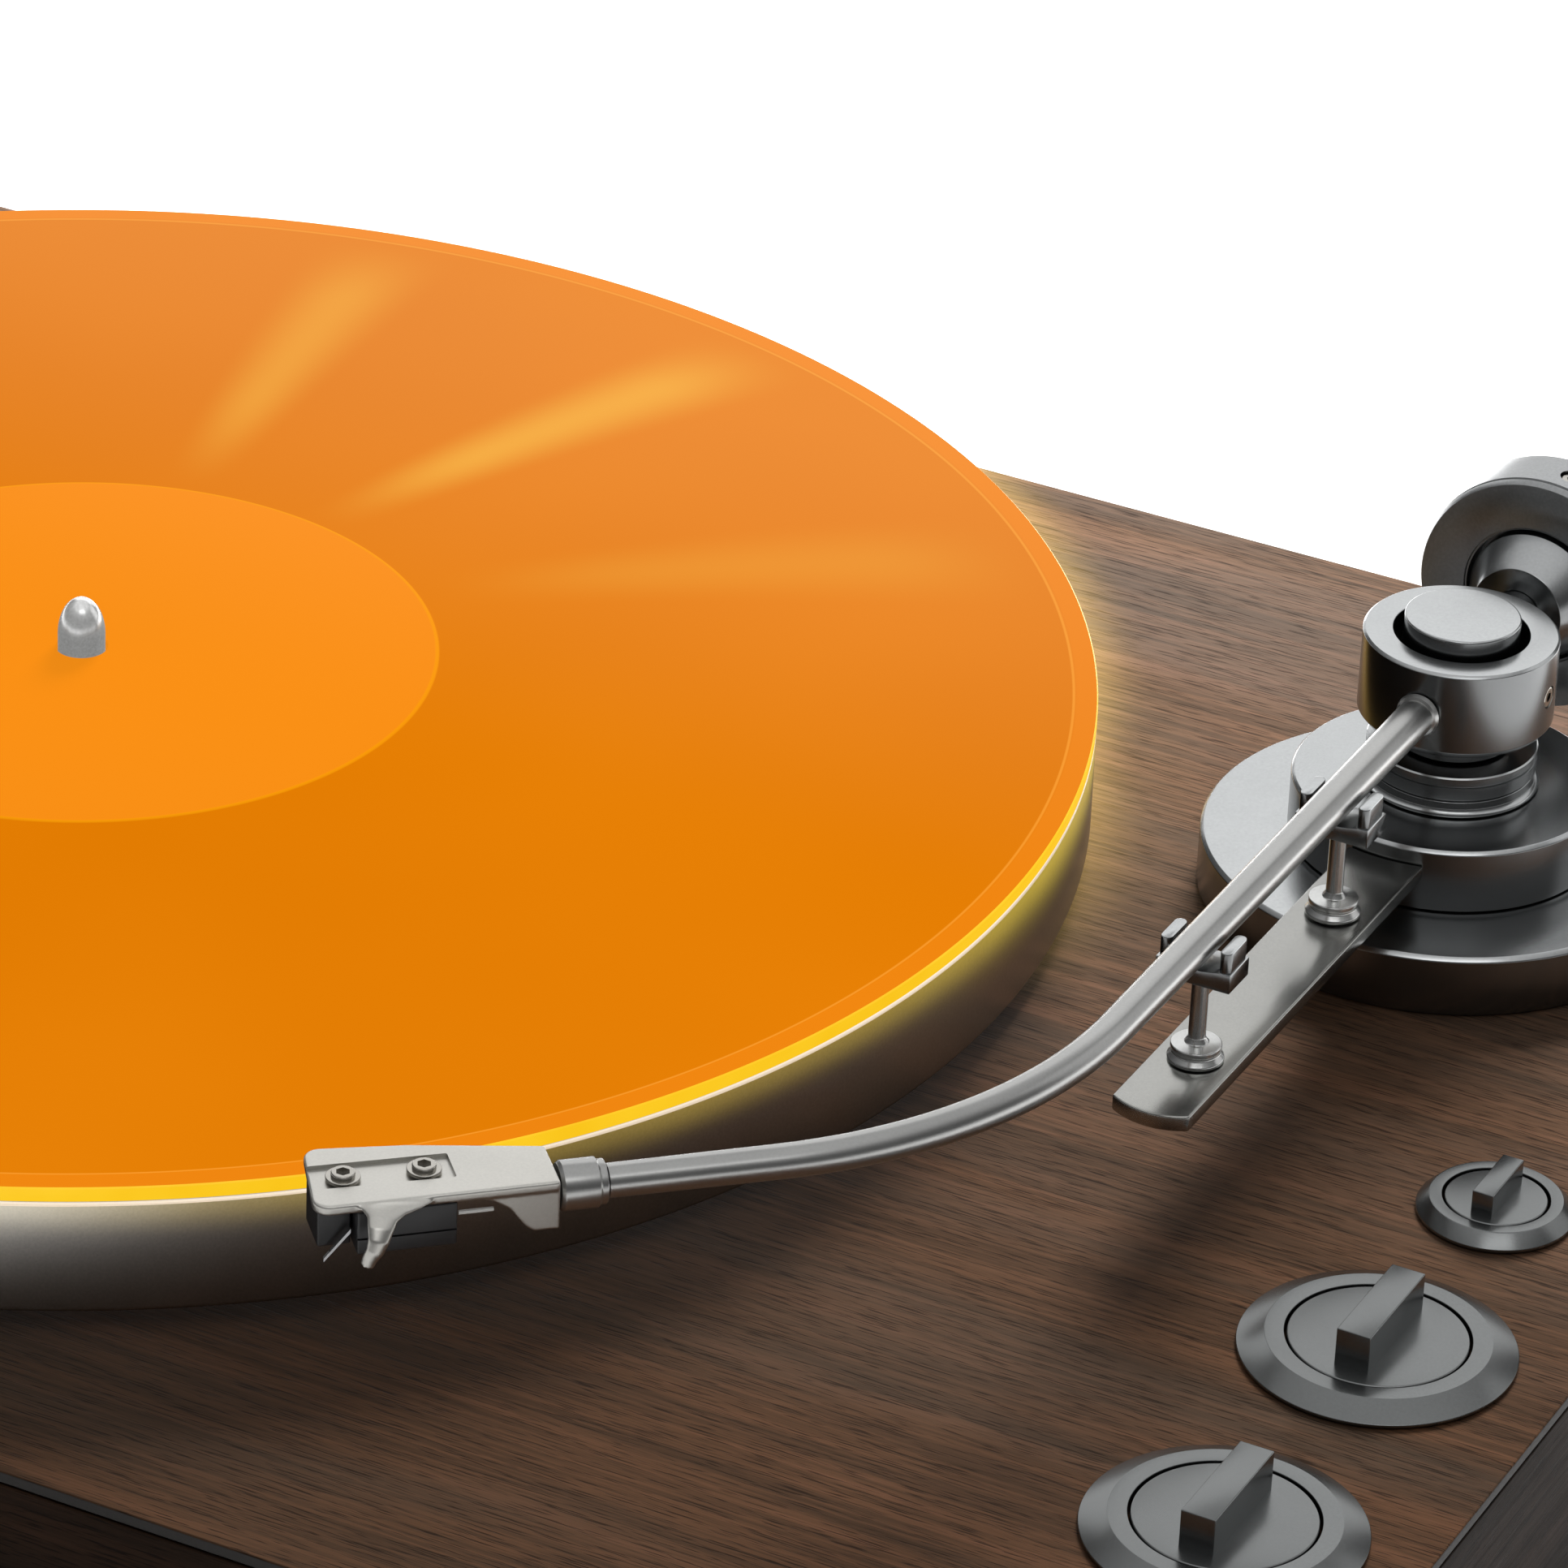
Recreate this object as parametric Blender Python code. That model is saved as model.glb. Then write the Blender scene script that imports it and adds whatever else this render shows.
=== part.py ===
"""A belt-driven record player in a walnut plinth, with a curved tonearm and three rotary controls.

Metres, +Z up. The origin is the middle of the plinth's footprint, at the level the feet stand on.
The front of the plinth faces -Y. "Height" below always means height above the feet's soles.
"""

import math

import bmesh
import bpy
from mathutils import Matrix, Vector

GAP = 0.0003  # between pieces that touch
RUNNING_FIT = 0.0001  # radial clearance of a shaft in its bearing

# Plinth
WIDTH = 0.4144
DEPTH = 0.3233
TOP = 0.062
SOLE_TO_FRAME = 0.016
BOARD = 0.014
LIP = 0.0018
TOP_BOARD_BODY = 0.010
BASE_PLATE = 0.004
FOOT_TOP_RADIUS = 0.020
FOOT_SOLE_RADIUS = 0.0165
FOOT_INSET = 0.036

# Platter and drive
SPINDLE = Vector((-0.0485, -0.00125, 0.0))
RECORD_TOP = TOP + 0.023
RECORD_RADIUS = 0.150
LABEL_RADIUS = 0.0524
PLATTER_RIM_TOP = RECORD_TOP - 0.0025
PLATTER_SKIRT_BOTTOM = TOP + 0.0034
PLATTER_CEILING = TOP + 0.0125
SPINDLE_RADIUS = 0.0035
SHAFT_RADIUS = 0.005
BEARING_RADIUS = 0.010
SUB_PLATTER_RADIUS = 0.062
BELT_GROOVE_RADIUS = 0.0612
PULLEY_GROOVE_RADIUS = 0.0072
PULLEY_OFFSET = Vector((-0.0552, 0.0736, 0.0))
PULLEY_BORE_RADIUS = 0.005
BELT_THICKNESS = 0.0008
BELT_HEIGHT = 0.004
BELT_MIDDLE = TOP + 0.008

# Tonearm
PIVOT = SPINDLE + Vector((0.1876, 0.0744, 0.0))
ARM_HEIGHT = RECORD_TOP + 0.014
ARM_STEM_RADIUS = 0.008  # below the upper disc, through the top board
LOWER_DISC_RADIUS = 0.0357
LOWER_DISC_TOP = TOP + 0.0098
UPPER_DISC_RADIUS = 0.023
UPPER_DISC_TOP = TOP + 0.020
RING_RADIUS = 0.0125
FLARE = 0.0010
RING_TOP = RECORD_TOP + 0.0033
YOKE_SHAFT_RADIUS = 0.004
HOUSING_RADIUS = 0.0143
HOUSING_BORE = 0.0099
HOUSING_HALF_HEIGHT = 0.007
CAP_RADIUS = 0.00846
CAP_TOP = RECORD_TOP + 0.0235
TUBE_RADIUS_REAR = 0.00275
TUBE_RADIUS_FRONT = 0.0023
BEND_ANGLE = math.radians(47.6)
BEND_RADIUS = 0.072
BEND_CORNER = 0.14816  # from the pivot to where the two straight runs would meet
CORNER_TO_COLLAR = 0.05447
COLLAR_LENGTH = 0.0066
HEADSHELL_REAR = 0.0072  # all headshell stations are measured from the tube's end
HEADSHELL_FRONT = 0.0396
HEADSHELL_TOP = 0.0035  # above the tube's axis
NECK_DEPTH = 0.0072
RECESS_DEPTH = 0.0007
CARTRIDGE_REAR = 0.0206
CARTRIDGE_FRONT = 0.0337
PLATE_THICKNESS = 0.0014
CARTRIDGE_DROP = 0.0064
CARTRIDGE_SCREWS = {"front": (0.0343, -0.0023), "rear": (0.0237, -0.0021)}  # along, across
COUNTERWEIGHT_RADIUS = 0.0183
COUNTERWEIGHT_LENGTH = 0.012
COUNTERWEIGHT_STATION = 0.0278  # behind the pivot
SET_SCREW_STATION = 0.0052
SET_SCREW_LEAN = 8  # degrees towards the right

# Arm rest
BAR_WIDTH = 0.0116
BAR_TOP = RECORD_TOP - 0.0055
BAR_THICKNESS = 0.0024
BAR_END = 0.1024
POST_STATIONS = {"front": 0.0880, "rear": 0.0415}  # in front of the pivot
POST_RADIUS = 0.0012
FLANGE_RADIUS = 0.0036
CRADLE_BOTTOM = ARM_HEIGHT - 0.006
CRADLE_FLOOR = ARM_HEIGHT - 0.0031
CRADLE_HALF_WIDTH = 0.0054
PRONG_THICKNESS = 0.0018
CRADLE_LENGTH = 0.006
CRADLE_LEDGE = 0.0002  # the block stands out this far round the prongs
PRONG_TOP = ARM_HEIGHT

# Controls: place, dial radius, flat ring's radius, foot radius and handle sizes
CONTROL_X = SPINDLE.x + 0.2292
BEZEL_HEIGHT = 0.0022
CONTROLS = {
    "front": dict(y=-0.09335, dial=0.0123, flat=0.0153, foot=0.019, handle=(0.00425, 0.018, 0.0056)),
    "middle": dict(y=-0.04415, dial=0.0123, flat=0.0153, foot=0.019, handle=(0.00425, 0.018, 0.0056)),
    "rear": dict(y=-0.00375, dial=0.00715, flat=0.00925, foot=0.011, handle=(0.0026, 0.0105, 0.0036)),
}
KNOB_SHAFT_RADIUS = 0.003
SWITCH_SIDE = 0.020
SWITCH_HEIGHT = 0.0165
CIRCUIT_TOP = 0.0316

# Connections, in a recess of the rear board
RECESS_X = -0.120
RECESS_HALF_WIDTH = 0.045
RECESS_BOTTOM = 0.024
RECESS_TOP = 0.052
JACK_PLATE = 0.002
JACK_RADIUS = 0.0042

MATERIALS = {
    "walnut": ((0.16, 0.085, 0.05), 0.45, 0.0),
    "black_board": ((0.02, 0.02, 0.02), 0.7, 0.0),
    "rubber": ((0.015, 0.015, 0.016), 0.8, 0.0),
    "satin_metal": ((0.48, 0.49, 0.49), 0.32, 1.0),
    "dark_metal": ((0.20, 0.20, 0.20), 0.4, 1.0),
    "chrome": ((0.75, 0.75, 0.76), 0.08, 1.0),
    "brass": ((0.70, 0.50, 0.20), 0.3, 1.0),
    "orange_vinyl": ((0.90, 0.24, 0.01), 0.25, 0.0),
    "black_plastic": ((0.03, 0.03, 0.032), 0.35, 0.0),
    "circuit_green": ((0.02, 0.12, 0.06), 0.5, 0.0),
}


def clear_scene():
    for obj in list(bpy.data.objects):
        bpy.data.objects.remove(obj, do_unlink=True)


def material(name):
    found = bpy.data.materials.get(name)
    if found:
        return found
    colour, roughness, metallic = MATERIALS[name]
    made = bpy.data.materials.new(name)
    made.use_nodes = True
    shader = made.node_tree.nodes["Principled BSDF"]
    shader.inputs["Base Color"].default_value = (*colour, 1.0)
    shader.inputs["Roughness"].default_value = roughness
    shader.inputs["Metallic"].default_value = metallic
    return made


def add_object(name, mesh, finish, place=(0, 0, 0), parent=None, smooth=True):
    """One object of the scene. With a parent, place is still in world coordinates."""
    if smooth:
        mesh.shade_smooth()
        mesh.set_sharp_from_angle(angle=math.radians(35))
    obj = bpy.data.objects.new(name, mesh)
    bpy.context.scene.collection.objects.link(obj)
    if finish:
        obj.data.materials.append(material(finish))
    obj.parent = parent
    obj.location = Vector(place) - (parent.matrix_world.translation if parent else Vector())
    return obj


def empty(name, place, parent=None):
    """The axis of a joint."""
    obj = bpy.data.objects.new(name, None)
    bpy.context.scene.collection.objects.link(obj)
    obj.parent = parent
    obj.location = Vector(place) - (parent.matrix_world.translation if parent else Vector())
    bpy.context.view_layer.update()
    return obj


def mesh_from(build, name):
    shape = bmesh.new()
    build(shape)
    bmesh.ops.remove_doubles(shape, verts=shape.verts, dist=1e-7)
    bmesh.ops.recalc_face_normals(shape, faces=shape.faces)
    mesh = bpy.data.meshes.new(name)
    shape.to_mesh(mesh)
    shape.free()
    return mesh


def turned_mesh(name, profile, steps=30):
    """A profile of (radius, height) points turned about Z. It closes on the axis or on itself."""

    def build(shape):
        points = [shape.verts.new((radius, 0, height)) for radius, height in profile]
        pairs = list(zip(points, points[1:]))
        if profile[0][0] > 0:
            pairs.append((points[-1], points[0]))
        edges = [shape.edges.new(pair) for pair in pairs]
        bmesh.ops.spin(
            shape,
            geom=points + edges,
            cent=(0, 0, 0),
            axis=(0, 0, 1),
            angle=math.tau,
            steps=steps,
            use_merge=True,
        )

    return mesh_from(build, name)


def turned(name, profile, finish, place=(0, 0, 0), parent=None, steps=48, lie_along=None):
    """A turned piece. lie_along turns its Z axis to a horizontal direction."""
    obj = add_object(name, turned_mesh(name, profile, steps), finish, place, parent)
    if lie_along is not None:
        obj.rotation_euler = Vector((0, 0, 1)).rotation_difference(Vector(lie_along)).to_euler()
    return obj


def prism_mesh(name, outline, low, high):
    """A flat outline of (x, y) points, raised from low to high along Z."""

    def build(shape):
        base = shape.faces.new([shape.verts.new((x, y, low)) for x, y in outline])
        raised = bmesh.ops.extrude_face_region(shape, geom=[base])["geom"]
        moved = [item for item in raised if isinstance(item, bmesh.types.BMVert)]
        bmesh.ops.translate(shape, verts=moved, vec=(0, 0, high - low))

    return mesh_from(build, name)


def box_mesh(name, low, high):
    outline = [(low[0], low[1]), (high[0], low[1]), (high[0], high[1]), (low[0], high[1])]
    return prism_mesh(name, outline, low[2], high[2])


def box(name, low, high, finish, parent=None, place=(0, 0, 0), bevel=0.0):
    obj = add_object(name, box_mesh(name, low, high), finish, place, parent, smooth=False)
    if bevel:
        add_bevel(obj, bevel)
    return obj


def add_bevel(obj, width, segments=2):
    modifier = obj.modifiers.new("Bevel", "BEVEL")
    modifier.width = width
    modifier.segments = segments
    modifier.limit_method = "ANGLE"
    modifier.angle_limit = math.radians(40)


def helper(name, mesh, place=(0, 0, 0), parent=None):
    """A cutter or an addition: it shapes another object and isn't a piece itself."""
    obj = add_object(name, mesh, None, place, parent)
    obj.hide_render = True
    obj.display_type = "WIRE"
    return obj


def boolean(obj, other, operation="DIFFERENCE"):
    modifier = obj.modifiers.new(other.name, "BOOLEAN")
    modifier.operation = operation
    modifier.object = other


def cylinder_helper(name, radius, low, high, place, steps=40, parent=None):
    profile = [(0, high), (radius, high), (radius, low), (0, low)]
    return helper(name, turned_mesh(name, profile, steps), place, parent)


def arc(centre, radius, start, end, count):
    """Points of a circle about centre, from one angle to another."""
    angles = [start + (end - start) * i / count for i in range(count + 1)]
    return [(centre[0] + radius * math.cos(a), centre[1] + radius * math.sin(a)) for a in angles]


# ---------------------------------------------------------------- plinth


def make_plinth():
    half_width, half_depth = WIDTH / 2, DEPTH / 2
    frame_top = TOP - LIP - GAP
    make_top_board(half_width, half_depth)

    mitre = BOARD + GAP
    sides = {
        "front_board": (half_width, half_depth, 0),
        "right_board": (half_depth, half_width, 90),
        "rear_board": (half_width, half_depth, 180),
        "left_board": (half_depth, half_width, 270),
    }
    for name, (along, across, turn) in sides.items():
        outline = [
            (-along + GAP, -across),
            (along - GAP, -across),
            (along - mitre, -across + BOARD),
            (-along + mitre, -across + BOARD),
        ]
        board = add_object(
            name, prism_mesh(name, outline, SOLE_TO_FRAME, frame_top), "walnut", smooth=False
        )
        board.rotation_euler.z = math.radians(turn)
        if name == "rear_board":
            cut_connection_recess(board)

    inner_x, inner_y = half_width - mitre, half_depth - mitre
    box(
        "base_plate",
        (-inner_x, -inner_y, SOLE_TO_FRAME + 0.002),
        (inner_x, inner_y, SOLE_TO_FRAME + 0.002 + BASE_PLATE),
        "black_board",
    )
    foot_top = SOLE_TO_FRAME + 0.002 - GAP
    foot = [
        (0, foot_top),
        (FOOT_TOP_RADIUS, foot_top),
        (FOOT_TOP_RADIUS, foot_top - 0.005),
        (FOOT_SOLE_RADIUS + 0.0015, 0.0015),
        (FOOT_SOLE_RADIUS, 0),
        (0, 0),
    ]
    for side, x in (("left", -1), ("right", 1)):
        for end, y in (("front", -1), ("rear", 1)):
            place = (x * (half_width - FOOT_INSET), y * (half_depth - FOOT_INSET), 0)
            turned(f"foot_{end}_{side}", foot, "rubber", place, steps=16)


def make_top_board(half_width, half_depth):
    """A thin lip over the frame and a thicker body inside it, bored for what passes through."""
    inset = BOARD + 2 * GAP
    board = box(
        "top_board", (-half_width, -half_depth, TOP - LIP), (half_width, half_depth, TOP), "walnut"
    )
    body = box_mesh(
        "top_board_body",
        (-half_width + inset, -half_depth + inset, TOP - LIP - TOP_BOARD_BODY),
        (half_width - inset, half_depth - inset, TOP - LIP / 2),
    )
    boolean(board, helper("top_board_body", body), "UNION")
    low, high = TOP - 0.02, TOP + 0.01
    bores = {
        "bearing": (BEARING_RADIUS + GAP, SPINDLE),
        "pulley": (PULLEY_BORE_RADIUS, SPINDLE + PULLEY_OFFSET),
        "arm": (ARM_STEM_RADIUS + GAP, PIVOT),
    }
    for name, control in CONTROLS.items():
        bores[f"control_{name}"] = (KNOB_SHAFT_RADIUS + 0.0005, (CONTROL_X, control["y"], 0))
    for name, (radius, place) in bores.items():
        boolean(board, cylinder_helper(f"bore_{name}", radius, low, high, place, steps=20))


def cut_connection_recess(board):
    """The opening in the rear board. The cutter stands in the world, unlike the turned board."""
    low = (RECESS_X - RECESS_HALF_WIDTH, DEPTH / 2 - BOARD - 0.002, RECESS_BOTTOM)
    high = (RECESS_X + RECESS_HALF_WIDTH, DEPTH / 2 + 0.002, RECESS_TOP)
    boolean(board, helper("recess_cutter", box_mesh("recess_cutter", low, high)))


# ---------------------------------------------------------------- platter and drive


def make_bearing():
    bore = SHAFT_RADIUS + RUNNING_FIT
    floor, bottom, flange_top = 0.029, 0.026, TOP + 0.003
    sleeve = [
        (0, floor),
        (bore, floor),
        (bore, flange_top),
        (0.016, flange_top),
        (0.017, flange_top - 0.001),
        (0.017, TOP + GAP),
        (BEARING_RADIUS, TOP + GAP),
        (BEARING_RADIUS, bottom),
        (0, bottom),
    ]
    turned("platter_bearing", sleeve, "brass", SPINDLE, steps=20)
    ball = 0.0024
    centre = floor + GAP + ball
    profile = [(ball * math.sin(a), centre + ball * math.cos(a)) for a in
               [math.pi * i / 8 for i in range(9)]]
    profile[0], profile[-1] = (0, centre + ball), (0, centre - ball)
    turned("thrust_ball", profile, "chrome", SPINDLE, steps=16)
    return centre + ball + GAP


def make_platter(shaft_bottom):
    axis = empty("platter_axis", SPINDLE)
    hole = SPINDLE_RADIUS + GAP
    skirt = RECORD_RADIUS - 0.012
    platter = [
        (hole, PLATTER_RIM_TOP),
        (RECORD_RADIUS - 0.0004, PLATTER_RIM_TOP),
        (RECORD_RADIUS, PLATTER_RIM_TOP - 0.0004),
        (RECORD_RADIUS, PLATTER_SKIRT_BOTTOM + 0.0006),
        (RECORD_RADIUS - 0.0006, PLATTER_SKIRT_BOTTOM),
        (skirt, PLATTER_SKIRT_BOTTOM),
        (skirt, PLATTER_CEILING),
        (hole, PLATTER_CEILING),
    ]
    turned("platter", platter, "satin_metal", SPINDLE, axis, steps=64)

    low, high = TOP + 0.0045, PLATTER_CEILING - GAP
    groove_low, groove_high = BELT_MIDDLE - 0.0026, BELT_MIDDLE + 0.0026
    sub_platter = [
        (hole, high),
        (SUB_PLATTER_RADIUS, high),
        (SUB_PLATTER_RADIUS, groove_high + 0.0003),
        (BELT_GROOVE_RADIUS, groove_high),
        (BELT_GROOVE_RADIUS, groove_low),
        (SUB_PLATTER_RADIUS, groove_low - 0.0003),
        (SUB_PLATTER_RADIUS, low),
        (hole, low),
    ]
    turned("sub_platter", sub_platter, "black_plastic", SPINDLE, axis, steps=30)

    shoulder = low - GAP
    tip = RECORD_TOP + 0.007
    dome_start = tip - 0.0042
    dome = [
        (SPINDLE_RADIUS * math.cos(a), dome_start + (tip - dome_start) * math.sin(a))
        for a in [math.pi / 2 * i / 5 for i in range(6)]
    ]
    dome[-1] = (0, tip)
    spindle = dome[::-1] + [
        (SPINDLE_RADIUS, shoulder),
        (SHAFT_RADIUS, shoulder),
        (SHAFT_RADIUS, shaft_bottom + 0.0005),
        (SHAFT_RADIUS - 0.0005, shaft_bottom),
        (0, shaft_bottom),
    ]
    turned("spindle", spindle, "chrome", SPINDLE, axis, steps=20)
    make_record(PLATTER_RIM_TOP + GAP, axis)


def make_record(bottom, platter_axis):
    axis = empty("record_axis", SPINDLE, platter_axis)
    edge = 0.0005
    step = 0.00015  # the label stands this little above the grooves
    hole = SPINDLE_RADIUS + GAP
    profile = [
        (hole, RECORD_TOP),
        (LABEL_RADIUS, RECORD_TOP),
        (LABEL_RADIUS + step, RECORD_TOP - step),
        (RECORD_RADIUS - 0.0035, RECORD_TOP - step),
        (RECORD_RADIUS - 0.0025, RECORD_TOP),
        (RECORD_RADIUS - edge, RECORD_TOP),
        (RECORD_RADIUS, RECORD_TOP - edge),
        (RECORD_RADIUS, bottom + edge),
        (RECORD_RADIUS - edge, bottom),
        (hole, bottom),
    ]
    turned("record", profile, "orange_vinyl", SPINDLE, axis, steps=64)


def make_drive():
    centre = SPINDLE + PULLEY_OFFSET
    motor_top = TOP - LIP - TOP_BOARD_BODY - GAP
    motor = [
        (0, motor_top),
        (0.0165, motor_top),
        (0.018, motor_top - 0.0015),
        (0.018, motor_top - 0.022),
        (0.0165, motor_top - 0.0235),
        (0.006, motor_top - 0.0235),
        (0.006, motor_top - 0.0245),
        (0, motor_top - 0.0245),
    ]
    turned("motor", motor, "dark_metal", centre, steps=24)

    axis = empty("pulley_axis", centre)
    groove_low, groove_high = BELT_MIDDLE - 0.0026, BELT_MIDDLE + 0.0026
    flange = PULLEY_GROOVE_RADIUS + 0.0014
    pulley = [
        (0, groove_high + 0.0012),
        (flange, groove_high + 0.0012),
        (flange, groove_high + 0.0004),
        (PULLEY_GROOVE_RADIUS, groove_high),
        (PULLEY_GROOVE_RADIUS, groove_low),
        (flange, groove_low - 0.0004),
        (flange, groove_low - 0.0012),
        (0.0035, groove_low - 0.0012),
        (0.0035, groove_low - 0.003),
        (0.0015, groove_low - 0.003),
        (0.0015, motor_top + GAP),
        (0, motor_top + GAP),
    ]
    turned("motor_pulley", pulley, "brass", centre, axis, steps=24)
    make_belt()


def belt_outline(extra):
    """The open belt's outline round both wheels, extra outside the two grooves."""
    reach = PULLEY_OFFSET.length
    heading = math.atan2(PULLEY_OFFSET.y, PULLEY_OFFSET.x)
    spread = math.acos((BELT_GROOVE_RADIUS - PULLEY_GROOVE_RADIUS) / reach)
    large = arc((0, 0), BELT_GROOVE_RADIUS + extra, heading + spread, heading + math.tau - spread, 36)
    small = arc(
        (PULLEY_OFFSET.x, PULLEY_OFFSET.y),
        PULLEY_GROOVE_RADIUS + extra,
        heading - spread,
        heading + spread,
        8,
    )
    return large + small


def make_belt():
    low, high = BELT_MIDDLE - BELT_HEIGHT / 2, BELT_MIDDLE + BELT_HEIGHT / 2
    clear = 2 * GAP
    outer, inner = belt_outline(clear + BELT_THICKNESS), belt_outline(clear)

    def build(shape):
        rings = [
            [shape.verts.new((x, y, z)) for x, y in outline]
            for outline, z in ((outer, low), (outer, high), (inner, high), (inner, low))
        ]
        count = len(outer)
        for ring, following in zip(rings, rings[1:] + rings[:1]):
            for i in range(count):
                j = (i + 1) % count
                shape.faces.new((ring[i], ring[j], following[j], following[i]))

    add_object("drive_belt", mesh_from(build, "drive_belt"), "rubber", SPINDLE)


# ---------------------------------------------------------------- tonearm


def make_arm_base():
    hole = ARM_STEM_RADIUS + GAP
    for name, radius, low, high in (
        ("arm_base_lower", LOWER_DISC_RADIUS, TOP + GAP, LOWER_DISC_TOP),
        ("arm_base_upper", UPPER_DISC_RADIUS, LOWER_DISC_TOP + GAP, UPPER_DISC_TOP),
    ):
        edge = 0.0007
        profile = [
            (hole, high),
            (radius - edge, high),
            (radius - edge * 0.3, high - edge * 0.3),
            (radius, high - edge),
            (radius, low),
            (hole, low),
        ]
        turned(name, profile, "satin_metal", PIVOT, steps=36)

    stem, bore = ARM_STEM_RADIUS, YOKE_SHAFT_RADIUS + RUNNING_FIT
    foot = UPPER_DISC_TOP + GAP
    ring_low = RING_TOP - 0.0037
    flare = [
        (RING_RADIUS - 0.0003 + FLARE * (1 - math.sin(a)), foot + FLARE * (1 - math.cos(a)))
        for a in [math.pi / 2 * i / 5 for i in range(6)]
    ]
    column = [
        (bore, RING_TOP),
        (RING_RADIUS, RING_TOP),
        (RING_RADIUS, ring_low),
        (RING_RADIUS - 0.0006, ring_low),
        (RING_RADIUS - 0.0006, ring_low - 0.0004),
        *[(radius, min(height, ring_low - 0.0004)) for radius, height in flare[::-1]],
        (stem, foot),
        (stem, 0.042),
        (bore, 0.042),
    ]
    turned("arm_column", column, "satin_metal", PIVOT, steps=24)

    nut_high = TOP - LIP - TOP_BOARD_BODY - GAP
    nut_low, nut_bore = nut_high - 0.005, stem + 0.0002
    nut = [(nut_bore, nut_high), (0.014, nut_high), (0.014, nut_low), (nut_bore, nut_low)]
    turned("arm_locknut", nut, "dark_metal", PIVOT, steps=20)


def arm_point(forward, up=0.0):
    """A point of the arm's straight rear part, forward of the pivot along -Y."""
    return Vector((PIVOT.x, PIVOT.y - forward, ARM_HEIGHT + up))


HEADING = Vector((-math.sin(BEND_ANGLE), -math.cos(BEND_ANGLE), 0))
NEAR_SIDE = Vector((math.cos(BEND_ANGLE), -math.sin(BEND_ANGLE), 0))
TUBE_END = arm_point(BEND_CORNER) + HEADING * CORNER_TO_COLLAR


def make_yoke(yaw_axis):
    """The upright part of the gimbal: it turns in the column and carries the two pivot points."""
    shaft = YOKE_SHAFT_RADIUS
    shoulder = RING_TOP + 0.0005
    yoke = [
        (0, CAP_TOP),
        (CAP_RADIUS - 0.0004, CAP_TOP),
        (CAP_RADIUS, CAP_TOP - 0.0004),
        (CAP_RADIUS, shoulder),
        (shaft, shoulder),
        (shaft, 0.055),
        (0, 0.055),
    ]
    piece = turned("pivot_yoke", yoke, "satin_metal", PIVOT, yaw_axis, steps=30)
    cup = [(0, 0.0022), (0.0016, 0.0022), (0.0016, 0), (0, 0)]
    for side, sign in (("left", -1), ("right", 1)):
        start = Vector((PIVOT.x + sign * (CAP_RADIUS - 0.0012), PIVOT.y, ARM_HEIGHT))
        cutter = helper(f"pivot_cup_{side}", turned_mesh(f"pivot_cup_{side}", cup, 16), start)
        cutter.rotation_euler = (0, math.radians(90) * sign, 0)
        boolean(piece, cutter)


def make_housing(lift_axis):
    top, bottom = HOUSING_HALF_HEIGHT, -HOUSING_HALF_HEIGHT
    edge = 0.0006
    profile = [
        (HOUSING_BORE, top),
        (HOUSING_RADIUS - 0.0004, top),
        (HOUSING_RADIUS, top - 0.0004),
        (HOUSING_RADIUS, bottom + edge * 2),
        (HOUSING_RADIUS - edge * 0.6, bottom + edge * 0.6),
        (HOUSING_RADIUS - edge * 2, bottom),
        (HOUSING_BORE, bottom),
    ]
    housing = turned("pivot_housing", profile, "satin_metal", arm_point(0), lift_axis, steps=30)
    for side, sign in (("left", -1), ("right", 1)):
        bore = [(0, 0.008), (0.0019, 0.008), (0.0019, -0.008), (0, -0.008)]
        cutter = helper(f"screw_bore_{side}", turned_mesh(f"screw_bore_{side}", bore, 16),
                        arm_point(0) + Vector((sign * 0.012, 0, 0)), lift_axis)
        cutter.rotation_euler = (0, math.radians(90), 0)
        boolean(housing, cutter)
        screw = [
            (0, 0.0002),
            (0.0016, 0.0002),
            (0.0016, -0.0045),
            (0.0010, -0.0050),
            (0.0003, -0.0064),
            (0, -0.0064),
        ]
        turned(f"pivot_screw_{side}", screw, "chrome",
               arm_point(0) + Vector((sign * HOUSING_RADIUS, 0, 0)), lift_axis, 16, (sign, 0, 0))


def tube_route():
    """Stations of the tube: the straight rear run, the bend, and the straight run to the headshell."""
    tangent = BEND_RADIUS * math.tan(BEND_ANGLE / 2)
    start = HOUSING_RADIUS + GAP
    points = [arm_point(start), arm_point(start + 0.0009), arm_point(start + 0.0011)]
    points += [arm_point(BEND_CORNER - tangent)]
    centre = arm_point(BEND_CORNER - tangent) - Vector((BEND_RADIUS, 0, 0))
    steps = 14
    for i in range(1, steps + 1):
        turn = BEND_ANGLE * i / steps
        points.append(centre + BEND_RADIUS * Vector((math.cos(turn), -math.sin(turn), 0)))
    points.append(TUBE_END)
    return points


def make_tube(lift_axis):
    curve = bpy.data.curves.new("arm_tube", "CURVE")
    curve.dimensions = "3D"
    curve.bevel_depth = TUBE_RADIUS_REAR
    curve.bevel_resolution = 4
    curve.use_fill_caps = True
    route = tube_route()
    spline = curve.splines.new("POLY")
    spline.points.add(len(route) - 1)
    length = sum((b - a).length for a, b in zip(route, route[1:]))
    travelled = 0.0
    for i, place in enumerate(route):
        if i:
            travelled += (place - route[i - 1]).length
        taper = 1 + (TUBE_RADIUS_FRONT / TUBE_RADIUS_REAR - 1) * travelled / length
        spline.points[i].co = (*(place - lift_axis.matrix_world.translation), 1)
        spline.points[i].radius = taper * (1.2 if i < 2 else 1.0)
    tube = bpy.data.objects.new("arm_tube", curve)
    bpy.context.scene.collection.objects.link(tube)
    tube.parent = lift_axis
    curve.materials.append(material("satin_metal"))


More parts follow.
